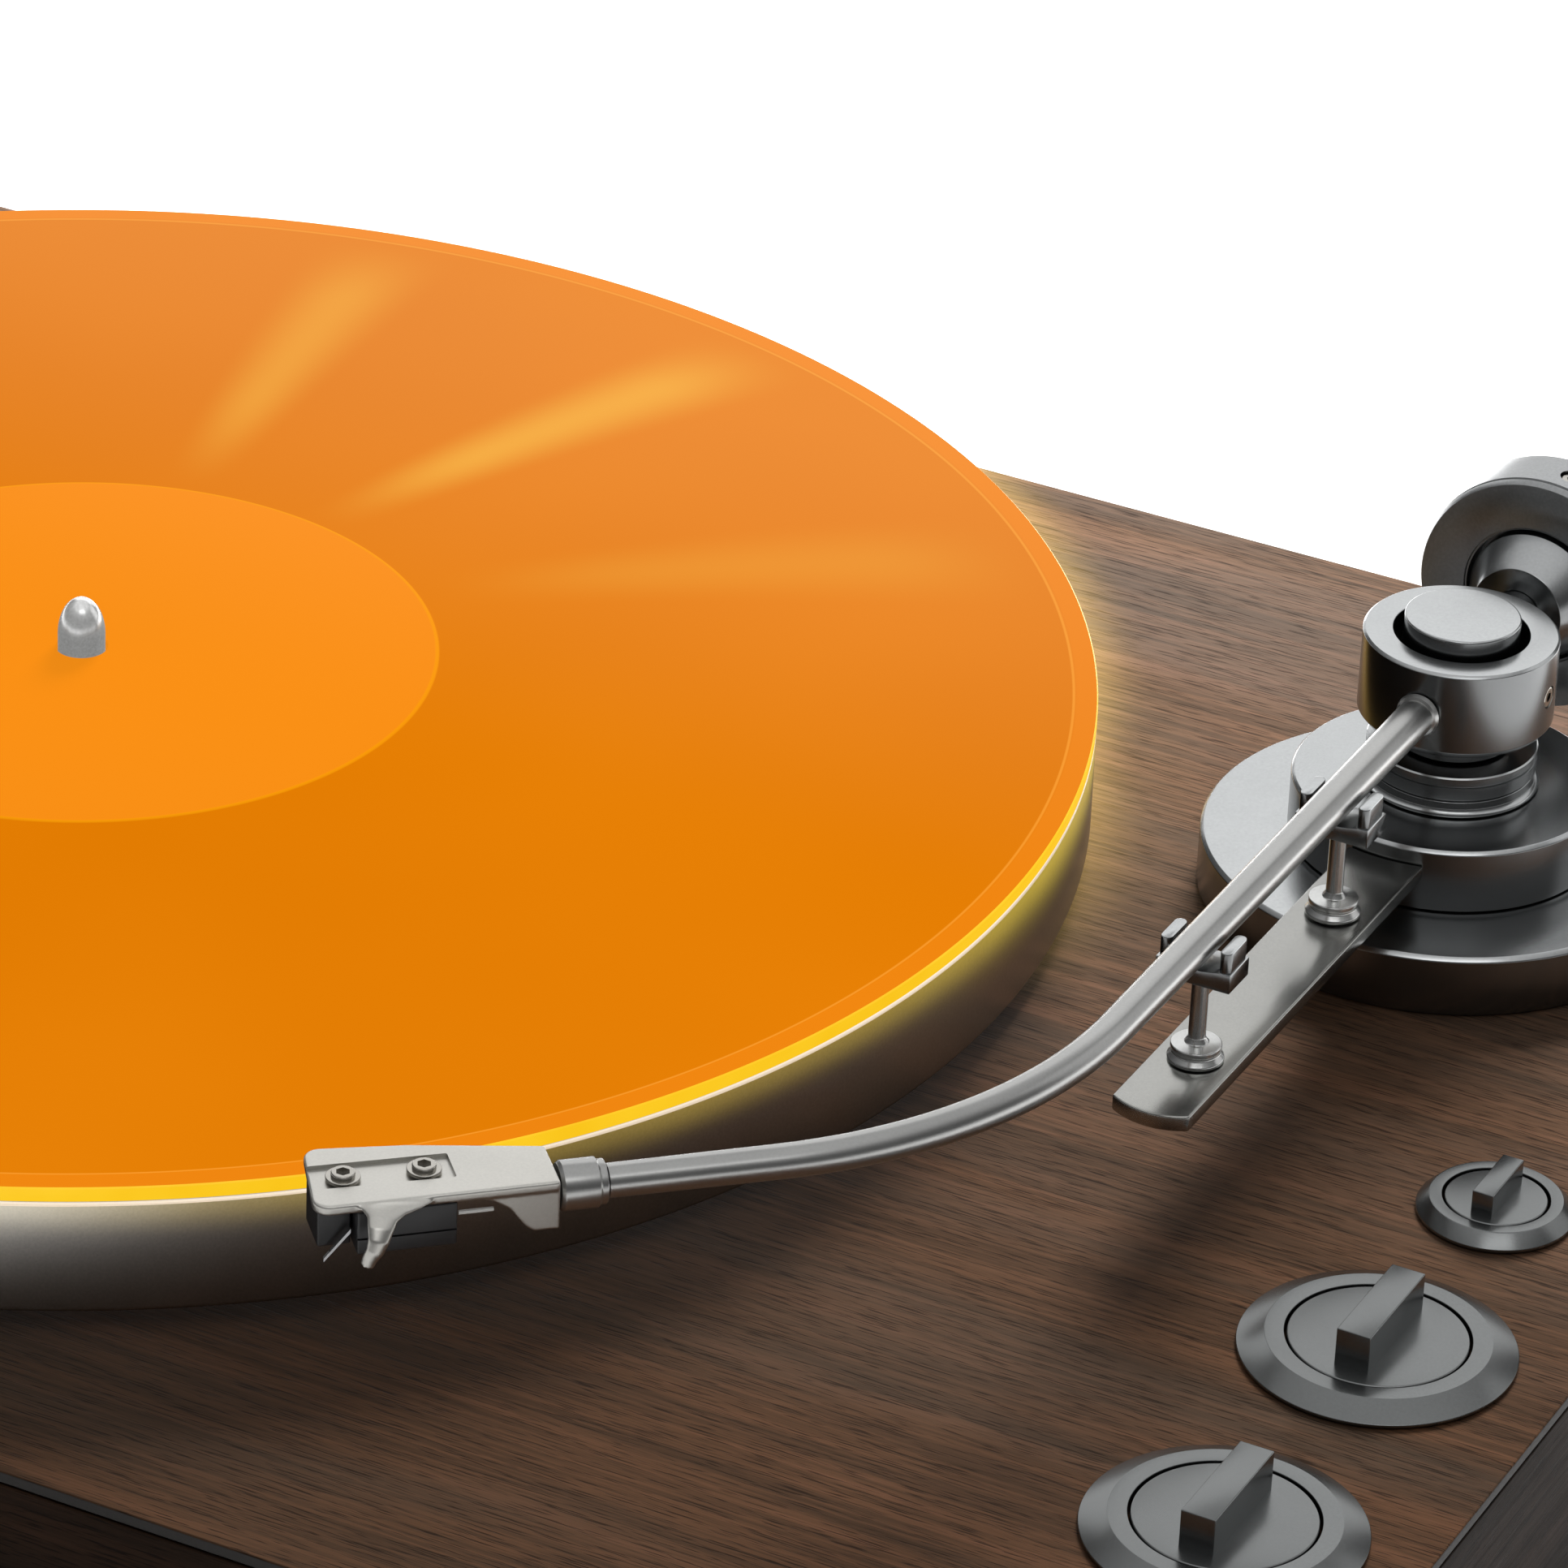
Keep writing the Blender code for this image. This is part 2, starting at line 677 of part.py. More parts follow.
def make_collar(lift_axis):
    start, end = GAP, COLLAR_LENGTH
    profile = [
        (0, end),
        (0.0029, end),
        (0.00335, end - 0.0006),
        (0.00335, start + 0.0012),
        (0.0029, start + 0.0010),
        (0.0029, start),
        (0, start),
    ]
    turned("headshell_collar", profile, "satin_metal", TUBE_END, lift_axis, 20, HEADING)


def headshell_matrix():
    """Headshell coordinates: X forward from the tube's end, Y to the near side, Z up."""
    across = Vector((0, 0, 1)).cross(HEADING)
    rotation = Matrix((HEADING, across, Vector((0, 0, 1)))).transposed().to_4x4()
    return Matrix.Translation(TUBE_END) @ rotation


def place_on_headshell(obj, lift_axis, at=(0, 0, 0)):
    obj.parent = lift_axis
    parent_place = Matrix.Translation(lift_axis.matrix_world.translation)
    obj.matrix_basis = parent_place.inverted() @ headshell_matrix() @ Matrix.Translation(at)


def make_headshell(lift_axis):
    """A thin plate that widens away from the near side, with a deep neck at the rear."""
    near, far_rear, far_middle, far_front = 0.0046, -0.0046, -0.0084, -0.01
    corner = 0.0022
    flare = HEADSHELL_REAR + 0.0175
    front_far, front_near = HEADSHELL_FRONT - 0.0016, HEADSHELL_FRONT
    outline = [
        (HEADSHELL_REAR, far_rear),
        (flare, far_middle),
        *arc((front_far - corner, far_front + corner), corner, -math.pi / 2, 0, 4),
        *arc((front_near - corner, near - corner), corner, 0, math.pi / 2, 4),
        (HEADSHELL_REAR, near),
    ]
    low = HEADSHELL_TOP - PLATE_THICKNESS
    plate = add_object("headshell", prism_mesh("headshell", outline, low, HEADSHELL_TOP),
                       "satin_metal", smooth=False)
    place_on_headshell(plate, lift_axis)

    start, run = HEADSHELL_REAR + 0.003, 0.0105
    overlap = HEADSHELL_TOP - PLATE_THICKNESS / 2
    rise = HEADSHELL_TOP - NECK_DEPTH
    curve = [
        (start + run * t, rise + (low - rise + 0.0003) * math.sin(math.pi / 2 * t) ** 1.5)
        for t in [i / 7 for i in range(8)]
    ]
    side = [(HEADSHELL_REAR, rise), *curve, (start + run, overlap), (HEADSHELL_REAR, overlap)]
    neck = helper("headshell_neck", prism_mesh("headshell_neck", side, -0.0043, 0.0043))
    place_on_headshell(neck, lift_axis)
    neck.matrix_basis = neck.matrix_basis @ Matrix.Rotation(math.radians(90), 4, "X")
    boolean(plate, neck, "UNION")

    finger = helper("finger_lift", finger_lift_mesh())
    place_on_headshell(finger, lift_axis)
    boolean(plate, finger, "UNION")

    recess = helper("screw_recess", prism_mesh(
        "screw_recess",
        [(0.0200, -0.0052), (0.0385, -0.0056), (0.0385, 0.0001), (0.0200, 0.0006)],
        HEADSHELL_TOP - RECESS_DEPTH,
        HEADSHELL_TOP + 0.001,
    ))
    place_on_headshell(recess, lift_axis)
    boolean(plate, recess)


def finger_lift_mesh():
    """The finger lift: a tongue that leaves the plate's near edge, curls down and ends in a small tip."""
    # along the headshell, away from it, height, half width, half thickness
    route = [
        (0.0304, 0.0030, 0.0028, 0.0068, 0.0005),
        (0.0304, 0.0044, 0.0028, 0.0060, 0.0005),
        (0.0307, 0.0056, 0.0027, 0.0030, 0.0006),
        (0.0312, 0.0070, 0.0024, 0.0019, 0.0007),
        (0.0317, 0.0084, 0.0013, 0.0015, 0.0008),
        (0.0323, 0.0091, -0.0003, 0.0013, 0.0009),
        (0.0330, 0.0091, -0.0018, 0.0010, 0.0009),
        (0.0335, 0.0089, -0.0030, 0.0008, 0.0008),
    ]
    sides = 12

    def build(shape):
        rings = []
        for i, (x, y, z, half_width, half_thickness) in enumerate(route):
            before, after = route[max(i - 1, 0)], route[min(i + 1, len(route) - 1)]
            along = (Vector(after[:3]) - Vector(before[:3])).normalized()
            across = (Vector((1, 0, 0)) - along * along.x).normalized()
            third = along.cross(across)
            ring = []
            for k in range(sides):
                angle = math.tau * k / sides
                offset = half_width * math.cos(angle) * across + half_thickness * math.sin(angle) * third
                ring.append(shape.verts.new(Vector((x, y, z)) + offset))
            rings.append(ring)
        for ring, following in zip(rings, rings[1:]):
            for k in range(sides):
                j = (k + 1) % sides
                shape.faces.new((ring[k], ring[j], following[j], following[k]))
        shape.faces.new(rings[0])
        shape.faces.new(rings[-1])

    return mesh_from(build, "finger_lift")


def make_cartridge(lift_axis):
    floor = HEADSHELL_TOP - RECESS_DEPTH
    head = [
        (0, floor + 0.0014),
        (0.0018, floor + 0.0014),
        (0.0018, floor + 0.0008),
        (0.0023, floor + 0.0007),
        (0.0023, floor + GAP),
        (0, floor + GAP),
    ]
    socket = [(0, 0.002), (0.0009, 0.002), (0.0009, 0), (0, 0)]
    for end, (station, line) in CARTRIDGE_SCREWS.items():
        name = f"cartridge_screw_{end}"
        screw = add_object(name, turned_mesh(name, head, 20), "chrome")
        place_on_headshell(screw, lift_axis, (station, line, 0))
        cutter = helper(f"hex_socket_{end}", turned_mesh(f"hex_socket_{end}", socket, 6))
        place_on_headshell(cutter, lift_axis, (station, line, floor + 0.0007))
        boolean(screw, cutter)

    high = HEADSHELL_TOP - PLATE_THICKNESS - GAP
    low = high - CARTRIDGE_DROP
    near = 0.0040
    body = add_object(
        "cartridge",
        box_mesh("cartridge", (CARTRIDGE_REAR, -0.0076, low), (CARTRIDGE_FRONT, near, high)),
        "black_plastic",
        smooth=False,
    )
    place_on_headshell(body, lift_axis)
    add_bevel(body, 0.0004, 1)

    start = CARTRIDGE_FRONT + GAP
    holder = add_object(
        "stylus_holder",
        box_mesh("stylus_holder", (start, -0.0055, low + 0.0002), (start + 0.0044, near - 0.0026, high)),
        "black_plastic",
        smooth=False,
    )
    place_on_headshell(holder, lift_axis)
    add_bevel(holder, 0.0004, 1)

    tip = (start + 0.0038, near - 0.0016, low - 0.0020)
    stylus = add_object("stylus", stylus_mesh(start, tip, low + 0.0030), "chrome", smooth=False)
    place_on_headshell(stylus, lift_axis)

    back = CARTRIDGE_REAR - GAP
    lead = [(0, -0.0046), (0.0003, -0.0046), (0.0003, 0), (0, 0)]
    wire = turned_mesh("signal_lead", lead[::-1], 8)
    piece = add_object("signal_lead", wire, "brass")
    place_on_headshell(piece, lift_axis, (back, near - 0.001, high - 0.0022))
    piece.matrix_basis = piece.matrix_basis @ Matrix.Rotation(math.radians(90), 4, "Y")


def stylus_mesh(start, tip, root_height):
    """The cantilever with its needle: a slim bar slanting down to a point."""
    half = 0.0003

    def build(shape):
        def ring(x, z, size):
            corners = ((-size, -size), (size, -size), (size, size), (-size, size))
            return [shape.verts.new((x, tip[1] + y, z + up)) for y, up in corners]

        root, neck = ring(start + half, root_height, half), ring(tip[0], tip[2] + 0.0009, half * 0.8)
        for k in range(4):
            j = (k + 1) % 4
            shape.faces.new((root[k], root[j], neck[j], neck[k]))
        shape.faces.new(root)
        point = shape.verts.new(tip)
        for k in range(4):
            shape.faces.new((neck[k], neck[(k + 1) % 4], point))

    return mesh_from(build, "stylus")


def make_counterweight(lift_axis):
    start = HOUSING_RADIUS + GAP
    end = COUNTERWEIGHT_STATION + COUNTERWEIGHT_LENGTH + 0.006
    shaft = 0.0034
    stub = [
        (0, end),
        (shaft - 0.0005, end),
        (shaft, end - 0.0005),
        (shaft, start + 0.0020),
        (0.0046, start + 0.0015),
        (0.0046, start),
        (0, start),
    ]
    turned("counterweight_shaft", stub, "satin_metal", arm_point(0), lift_axis, 20, (0, 1, 0))

    place = arm_point(-COUNTERWEIGHT_STATION)
    axis = empty("counterweight_axis", place, lift_axis)
    bore = shaft + RUNNING_FIT
    rim, length = COUNTERWEIGHT_RADIUS, COUNTERWEIGHT_LENGTH
    recess_floor, recess_rim, seat_radius = 0.0038, 0.0106, 0.0100
    profile = [
        (bore, length),
        (rim - 0.002, length),
        (rim, length - 0.002),
        (rim, 0.0011),
        (rim - 0.0005, 0),
        (recess_rim, 0),
        (recess_rim, recess_floor),
        (bore, recess_floor),
    ]
    weight = turned("counterweight", profile, "satin_metal", place, axis, 40, (0, 1, 0))

    drum = [
        (bore, recess_floor - GAP),
        (seat_radius, recess_floor - GAP),
        (seat_radius, -0.0003),
        (0.0075, -0.0047),
        (0.00685, -0.0059),
        (bore, -0.0059),
    ]
    turned("counterweight_hub", drum, "satin_metal", place, axis, 30, (0, 1, 0))

    lean = math.radians(-SET_SCREW_LEAN)
    out = Vector((-math.sin(lean), 0, math.cos(lean)))
    seat = place + Vector((0, SET_SCREW_STATION, 0)) + out * rim
    bore_profile = [(0, 0.002), (0.0019, 0.002), (0.0019, -0.004), (0, -0.004)]
    hole = helper("set_screw_bore", turned_mesh("set_screw_bore", bore_profile, 16), seat, axis)
    hole.rotation_euler = Vector((0, 0, 1)).rotation_difference(out).to_euler()
    boolean(weight, hole)
    screw = [(0, -0.0003), (0.0015, -0.0003), (0.0015, -0.0036), (0, -0.0036)]
    turned("counterweight_screw", screw, "chrome", seat, axis, 12, out)


def make_tonearm():
    make_arm_base()
    yaw_axis = empty("arm_swing_axis", arm_point(0))
    lift_axis = empty("arm_lift_axis", arm_point(0), yaw_axis)
    make_yoke(yaw_axis)
    make_housing(lift_axis)
    make_tube(lift_axis)
    make_collar(lift_axis)
    make_headshell(lift_axis)
    make_cartridge(lift_axis)
    make_counterweight(lift_axis)


# ---------------------------------------------------------------- arm rest


def make_rest():
    half = BAR_WIDTH / 2
    saddle = UPPER_DISC_RADIUS + GAP
    spread = math.asin(half / saddle)
    corner_y = -BAR_END
    bulge = 0.0018
    end_radius = (half * half + bulge * bulge) / (2 * bulge)
    end_spread = math.asin(half / end_radius)
    outline = arc((0, 0), saddle, -math.pi / 2 + spread, -math.pi / 2 - spread, 10)
    outline += arc((0, corner_y + end_radius - bulge), end_radius,
                   -math.pi / 2 - end_spread, -math.pi / 2 + end_spread, 10)
    bar = add_object("rest_bar", prism_mesh("rest_bar", outline, BAR_TOP - BAR_THICKNESS, BAR_TOP),
                     "satin_metal", PIVOT, smooth=False)
    add_bevel(bar, 0.0002, 1)

    foot, top = BAR_TOP + GAP, CRADLE_BOTTOM - GAP
    wide = FLANGE_RADIUS + 0.0004
    post = [
        (0, top),
        (POST_RADIUS, top),
        (POST_RADIUS + 0.0001, foot + 0.0030),
        (POST_RADIUS + 0.0006, foot + 0.0024),
        (FLANGE_RADIUS, foot + 0.0023),
        (FLANGE_RADIUS, foot + 0.0009),
        (wide, foot + 0.0007),
        (wide, foot),
        (0, foot),
    ]
    for end, station in POST_STATIONS.items():
        place = PIVOT - Vector((0, station, 0))
        turned(f"rest_post_{end}", post, "satin_metal", place, steps=20)
        make_cradle(end, place)


def make_cradle(end, place):
    """A fork: a block with a rounded saddle, between two upright prongs with round ends."""
    inner = CRADLE_HALF_WIDTH - PRONG_THICKNESS
    half_length = CRADLE_LENGTH / 2
    sag = 0.0005
    middle = CRADLE_HALF_WIDTH - PRONG_THICKNESS / 2
    outside = CRADLE_HALF_WIDTH + CRADLE_LEDGE
    saddle_radius = (inner * inner + sag * sag) / (2 * sag)
    spread = math.asin(inner / saddle_radius)
    outline = [
        (-outside, CRADLE_BOTTOM),
        (outside, CRADLE_BOTTOM),
        (outside, CRADLE_FLOOR),
        *arc((0, CRADLE_FLOOR - sag + saddle_radius), saddle_radius,
             -math.pi / 2 + spread, -math.pi / 2 - spread, 6),
        (-outside, CRADLE_FLOOR),
    ]
    name = f"rest_cradle_{end}"
    block = half_length + CRADLE_LEDGE
    cradle = add_object(name, prism_mesh(name, outline, -block, block), "satin_metal", place,
                        smooth=False)
    cradle.rotation_euler.x = math.radians(90)
    round_end = PRONG_THICKNESS / 2
    straight = half_length - round_end
    for side, x in (("left", -middle), ("right", middle)):
        stadium = arc((x, straight), round_end, 0, math.pi, 6)
        stadium += arc((x, -straight), round_end, math.pi, math.tau, 6)
        prong = prism_mesh(f"prong_{end}_{side}", stadium, CRADLE_FLOOR - 0.001, PRONG_TOP)
        boolean(cradle, helper(f"prong_{end}_{side}", prong, place), "UNION")


# ---------------------------------------------------------------- controls and connections


def make_controls():
    body_top = TOP - LIP - TOP_BOARD_BODY
    dial_top = TOP + GAP + BEZEL_HEIGHT - 0.0001
    for name, control in CONTROLS.items():
        place = Vector((CONTROL_X, control["y"], 0))
        hole = control["dial"] + 0.00035
        bezel = [
            (hole, TOP + GAP + BEZEL_HEIGHT),
            (control["flat"], TOP + GAP + BEZEL_HEIGHT),
            (control["foot"], TOP + 2 * GAP),
            (control["foot"], TOP + GAP),
            (hole, TOP + GAP),
        ]
        turned(f"bezel_{name}", bezel, "satin_metal", place, steps=30)

        axis = empty(f"knob_axis_{name}", place)
        knob = [
            (0, dial_top),
            (control["dial"] - 0.0003, dial_top),
            (control["dial"], dial_top - 0.0003),
            (control["dial"], TOP + 2 * GAP),
            (KNOB_SHAFT_RADIUS, TOP + 2 * GAP),
            (KNOB_SHAFT_RADIUS, body_top + GAP),
            (0, body_top + GAP),
        ]
        dial = turned(f"knob_{name}", knob, "satin_metal", place, axis, steps=24)
        width, length, height = control["handle"]
        low = (-width / 2, -length / 2, dial_top - 0.001)
        high = (width / 2, length / 2, dial_top + height)
        handle = helper(f"handle_{name}", box_mesh(f"handle_{name}", low, high), place, axis)
        add_bevel(handle, 0.00015, 1)
        boolean(dial, handle, "UNION")

        side = SWITCH_SIDE / 2 * (1 if name != "rear" else 0.7)
        box(
            f"switch_{name}",
            (-side, -side, body_top - GAP - SWITCH_HEIGHT),
            (side, side, body_top - GAP),
            "black_plastic",
            place=place,
        )
    board_high = body_top - GAP - SWITCH_HEIGHT - GAP
    box(
        "control_board",
        (CONTROL_X - 0.034, -0.115, board_high - 0.0016),
        (CONTROL_X + 0.0105, 0.025, board_high),
        "circuit_green",
    )


def make_connections():
    inner_face = DEPTH / 2 - BOARD - GAP
    margin = 0.006
    box(
        "jack_plate",
        (RECESS_X - RECESS_HALF_WIDTH - margin, inner_face - JACK_PLATE, RECESS_BOTTOM - 0.002),
        (RECESS_X + RECESS_HALF_WIDTH + margin, inner_face, RECESS_TOP - 0.004),
        "black_plastic",
    )
    height = (RECESS_BOTTOM + RECESS_TOP) / 2 - 0.002
    start = Vector((0, inner_face + GAP, height))
    jack = [
        (0.0021, 0.0095),
        (JACK_RADIUS, 0.0095),
        (JACK_RADIUS, 0.0015),
        (JACK_RADIUS + 0.0012, 0.0015),
        (JACK_RADIUS + 0.0012, 0),
        (0, 0),
        (0, 0.001),
        (0.0021, 0.001),
    ]
    jack = jack[-2:] + jack[:-2]
    for name, x in (("left", -0.030), ("right", -0.012)):
        place = start + Vector((RECESS_X + x, 0, 0))
        turned(f"jack_{name}", jack, "brass", place, None, 16, (0, 1, 0))
    post = [(0, 0.009), (0.0028, 0.009), (0.0034, 0.0084), (0.0034, 0.004), (0.0016, 0.0036),
            (0.0016, 0.0015), (0.004, 0.0015), (0.004, 0), (0, 0)]
    turned("ground_post", post, "brass", start + Vector((RECESS_X + 0.006, 0, 0)), None, 16, (0, 1, 0))
    inlet = [(0.0033, 0.006), (0.0055, 0.006), (0.0055, 0), (0, 0), (0, 0.001), (0.0033, 0.001)]
    inlet = inlet[-2:] + inlet[:-2]
    turned("power_inlet", inlet, "black_plastic", start + Vector((RECESS_X + 0.030, 0, 0)), None, 16,
           (0, 1, 0))


def main():
    clear_scene()
    make_plinth()
    shaft_bottom = make_bearing()
    make_platter(shaft_bottom)
    make_drive()
    make_tonearm()
    make_rest()
    make_controls()
    make_connections()


main()
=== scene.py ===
"""Looks for the record player: finer surfaces, materials, light and the camera."""

import math

import bmesh
import bpy
from mathutils import Matrix, Vector


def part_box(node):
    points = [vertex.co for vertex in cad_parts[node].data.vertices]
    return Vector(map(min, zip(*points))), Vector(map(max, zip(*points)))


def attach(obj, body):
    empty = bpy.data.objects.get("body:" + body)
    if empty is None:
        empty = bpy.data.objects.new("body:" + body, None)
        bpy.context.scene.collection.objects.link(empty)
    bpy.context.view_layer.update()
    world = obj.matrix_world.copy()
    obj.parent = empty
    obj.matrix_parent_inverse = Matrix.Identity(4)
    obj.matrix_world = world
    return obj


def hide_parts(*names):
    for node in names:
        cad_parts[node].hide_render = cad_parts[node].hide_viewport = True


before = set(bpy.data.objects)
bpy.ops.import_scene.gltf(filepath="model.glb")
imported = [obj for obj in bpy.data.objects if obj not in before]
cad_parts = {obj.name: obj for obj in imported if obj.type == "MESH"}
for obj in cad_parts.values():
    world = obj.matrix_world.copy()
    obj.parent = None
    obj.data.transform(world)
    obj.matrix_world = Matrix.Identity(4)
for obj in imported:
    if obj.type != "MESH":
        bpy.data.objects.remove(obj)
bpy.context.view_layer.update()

UP = Vector((0, 0, 1))


def corners(node):
    low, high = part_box(node)
    return Vector(low), Vector(high)


def centre(node):
    low, high = corners(node)
    return (low + high) / 2


def span(node):
    """Radius about a vertical axis, lowest and highest point of a round node."""
    low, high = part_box(node)
    return (high[0] - low[0]) / 2, low[2], high[2]


def add_object(name, data):
    obj = bpy.data.objects.new(name, data)
    bpy.context.scene.collection.objects.link(obj)
    return obj


SPINDLE = centre("spindle")
RECORD_TOP = span("record")[2]
RECORD_RADIUS = span("record")[0]
PLINTH_TOP = span("top_board")[2]
PIVOT = centre("pivot_yoke")
ARM_Z = centre("counterweight_shaft").z

# ---------------------------------------------------------------- camera

LENS = 186.335  # for a 36 mm sensor
CAMERA_AZIMUTH = math.radians(26.1)
CAMERA_ELEVATION = math.radians(29.25)
CAMERA_ROLL = math.radians(2.52)
CAMERA_FROM_SPINDLE = Vector((0.5563, -0.8984, 0.5707))  # above the record's top face


def add_camera():
    a, e, r = CAMERA_AZIMUTH, CAMERA_ELEVATION, CAMERA_ROLL
    back = Vector((math.sin(a) * math.cos(e), -math.cos(a) * math.cos(e), math.sin(e)))
    right = Vector((math.cos(a), math.sin(a), 0))
    up = back.cross(right)
    turned_right = math.cos(r) * right + math.sin(r) * up
    turned_up = -math.sin(r) * right + math.cos(r) * up
    data = bpy.data.cameras.new("camera")
    data.lens, data.sensor_width = LENS, 36
    data.clip_start, data.clip_end = 0.05, 50
    camera = add_object("camera", data)
    place = Vector((SPINDLE.x, SPINDLE.y, RECORD_TOP)) + CAMERA_FROM_SPINDLE
    axes = Matrix((turned_right, turned_up, back)).transposed().to_4x4()
    camera.matrix_world = Matrix.Translation(place) @ axes
    bpy.context.scene.camera = camera


add_camera()

# ---------------------------------------------------------------- materials


def fill_ramp(ramp, stops):
    """Each stop is a place and a colour, or a grey level."""
    elements = ramp.color_ramp.elements
    while len(elements) < len(stops):
        elements.new(0.5)
    for element, (place, colour) in zip(elements, stops):
        element.position = place
        if not isinstance(colour, tuple):
            colour = (colour,) * 3
        element.color = (*colour, 1)


class Shader:
    """A material under construction: short names for the nodes it needs."""

    def __init__(self, name, **fixed):
        self.material = bpy.data.materials.new(name)
        self.material.use_nodes = True
        self.tree = self.material.node_tree
        self.surface = self.tree.nodes["Principled BSDF"]
        for key, value in fixed.items():
            self.set(key, value)

    def set(self, key, value):
        socket = self.surface.inputs[key.replace("_", " ")]
        if isinstance(value, tuple):
            value = (*value, 1.0) if len(socket.default_value) == 4 else value
        socket.default_value = value

    def node(self, kind, **inputs):
        made = self.tree.nodes.new("ShaderNode" + kind)
        for key, value in inputs.items():
            self.feed(made.inputs[key], value)
        return made

    def feed(self, socket, value):
        if isinstance(value, bpy.types.NodeSocket):
            self.tree.links.new(value, socket)
        elif isinstance(value, bpy.types.Node):
            self.tree.links.new(value.outputs[0], socket)
        else:
            socket.default_value = value

    def link(self, value, key):
        self.feed(self.surface.inputs[key], value)

    def place(self, scale=(1, 1, 1), offset=(0, 0, 0)):
        mapping = self.node("Mapping", Vector=self.node("TexCoord").outputs["Object"])
        mapping.inputs["Scale"].default_value = scale
        mapping.inputs["Location"].default_value = offset
        return mapping

    def noise(self, vector, scale, detail=2.0, rough=0.5, distortion=0.0):
        made = self.node("TexNoise", Vector=vector, Scale=scale, Detail=detail, Roughness=rough)
        made.inputs["Distortion"].default_value = distortion
        return made.outputs["Fac"]

    def ramp(self, factor, *stops):
        made = self.node("ValToRGB", Fac=factor)
        fill_ramp(made, stops)
        return made.outputs["Color"]

    def maths(self, operation, *values, clamp=False):
        made = self.node("Math")
        made.operation, made.use_clamp = operation, clamp
        for socket, value in zip(made.inputs, values):
            self.feed(socket, value)
        return made.outputs[0]

    def product(self, first, *others):
        for other in others:
            first = self.maths("MULTIPLY", first, other)
        return first

    def mix(self, factor, a, b, kind="MIX"):
        made = self.node("Mix")
        made.data_type, made.blend_type = "RGBA", kind
        for index, value in ((0, factor), (6, a), (7, b)):
            if isinstance(value, tuple):
                value = (*value, 1)
            self.feed(made.inputs[index], value)
        return made.outputs[2]

    def bump(self, height, strength, distance):
        made = self.node("Bump", Height=height, Strength=strength, Distance=distance)
        self.link(made.outputs["Normal"], "Normal")
        return made

    def rise(self, value, low, high):
        """0 below low, 1 above high, and smooth between. With high below low it falls instead."""
        made = self.node("MapRange", Value=value)
        made.interpolation_type = "SMOOTHSTEP"
        ends = (low, high, 0.0, 1.0) if high > low else (high, low, 1.0, 0.0)
        for key, end in zip(("From Min", "From Max", "To Min", "To Max"), ends):
            made.inputs[key].default_value = end
        return made.outputs[0]

    def about_spindle(self):
        """Radius and heading about the record's centre, and height."""
        parts = self.node("SeparateXYZ", Vector=self.place(offset=(-SPINDLE.x, -SPINDLE.y, 0)))
        x, y, z = parts.outputs
        radius = self.maths("SQRT", self.maths("ADD", self.maths("MULTIPLY", x, x),
                                               self.maths("MULTIPLY", y, y)))
        return radius, self.maths("ARCTAN2", y, x), z

    def glow(self, colour, strength=1.0):
        self.link(colour, "Emission Color")
        self.set("Emission Strength", strength)


def tinted(colour, tint):
    return tuple(channel * tint for channel in colour)


WALNUT_TONES = (  # from the dark streaks to the pale ones
    (0.34, (0.036, 0.0205, 0.0115)),
    (0.46, (0.055, 0.0290, 0.0160)),
    (0.54, (0.078, 0.0385, 0.0200)),
    (0.68, (0.115, 0.0530, 0.0290)),
)
WALNUT_GREY, WALNUT_PORE = (0.045, 0.034, 0.025), (0.008, 0.0045, 0.003)
PAINTED_LIGHT_AT_REAR = (1.9, 2.2, 2.6)  # painted light: how much brighter the veneer is painted towards the rear
# painted light: the colour of the yellow halo painted on the wood beside the record
PAINTED_HALO_COLOUR = (0.50, 0.32, 0.065)
HALO_TURN, HALO_GROWTH = 0.59914, 0.0464  # heading past which it widens, and by how much a radian


def painted_halo_beside_record(s, streaks):
    """A painted yellow halo on the wood, standing for light from the record's edge, to the right of the
    platter and behind it.
    """
    radius, heading, _ = s.about_spindle()
    wider = s.maths("MAXIMUM", s.product(s.maths("SUBTRACT", heading, HALO_TURN), HALO_GROWTH), 0)
    near = s.rise(s.maths("SUBTRACT", radius, wider), RECORD_RADIUS + 0.013, RECORD_RADIUS - 0.002)
    broad = s.product(s.rise(radius, RECORD_RADIUS + 0.024, RECORD_RADIUS), 0.15)
    near = s.maths("ADD", s.product(near, near), broad)
    turned_to = s.product(s.rise(heading, math.radians(4), math.radians(42)),
                          s.rise(heading, math.radians(96), math.radians(72)))
    outside = s.rise(radius, RECORD_RADIUS - 0.010, RECORD_RADIUS - 0.004)
    painted_spill = s.product(near, outside, turned_to, s.ramp(streaks, (0.3, 0.6), (0.7, 1.0)))
    s.glow(s.mix(painted_spill, (0, 0, 0), PAINTED_HALO_COLOUR))


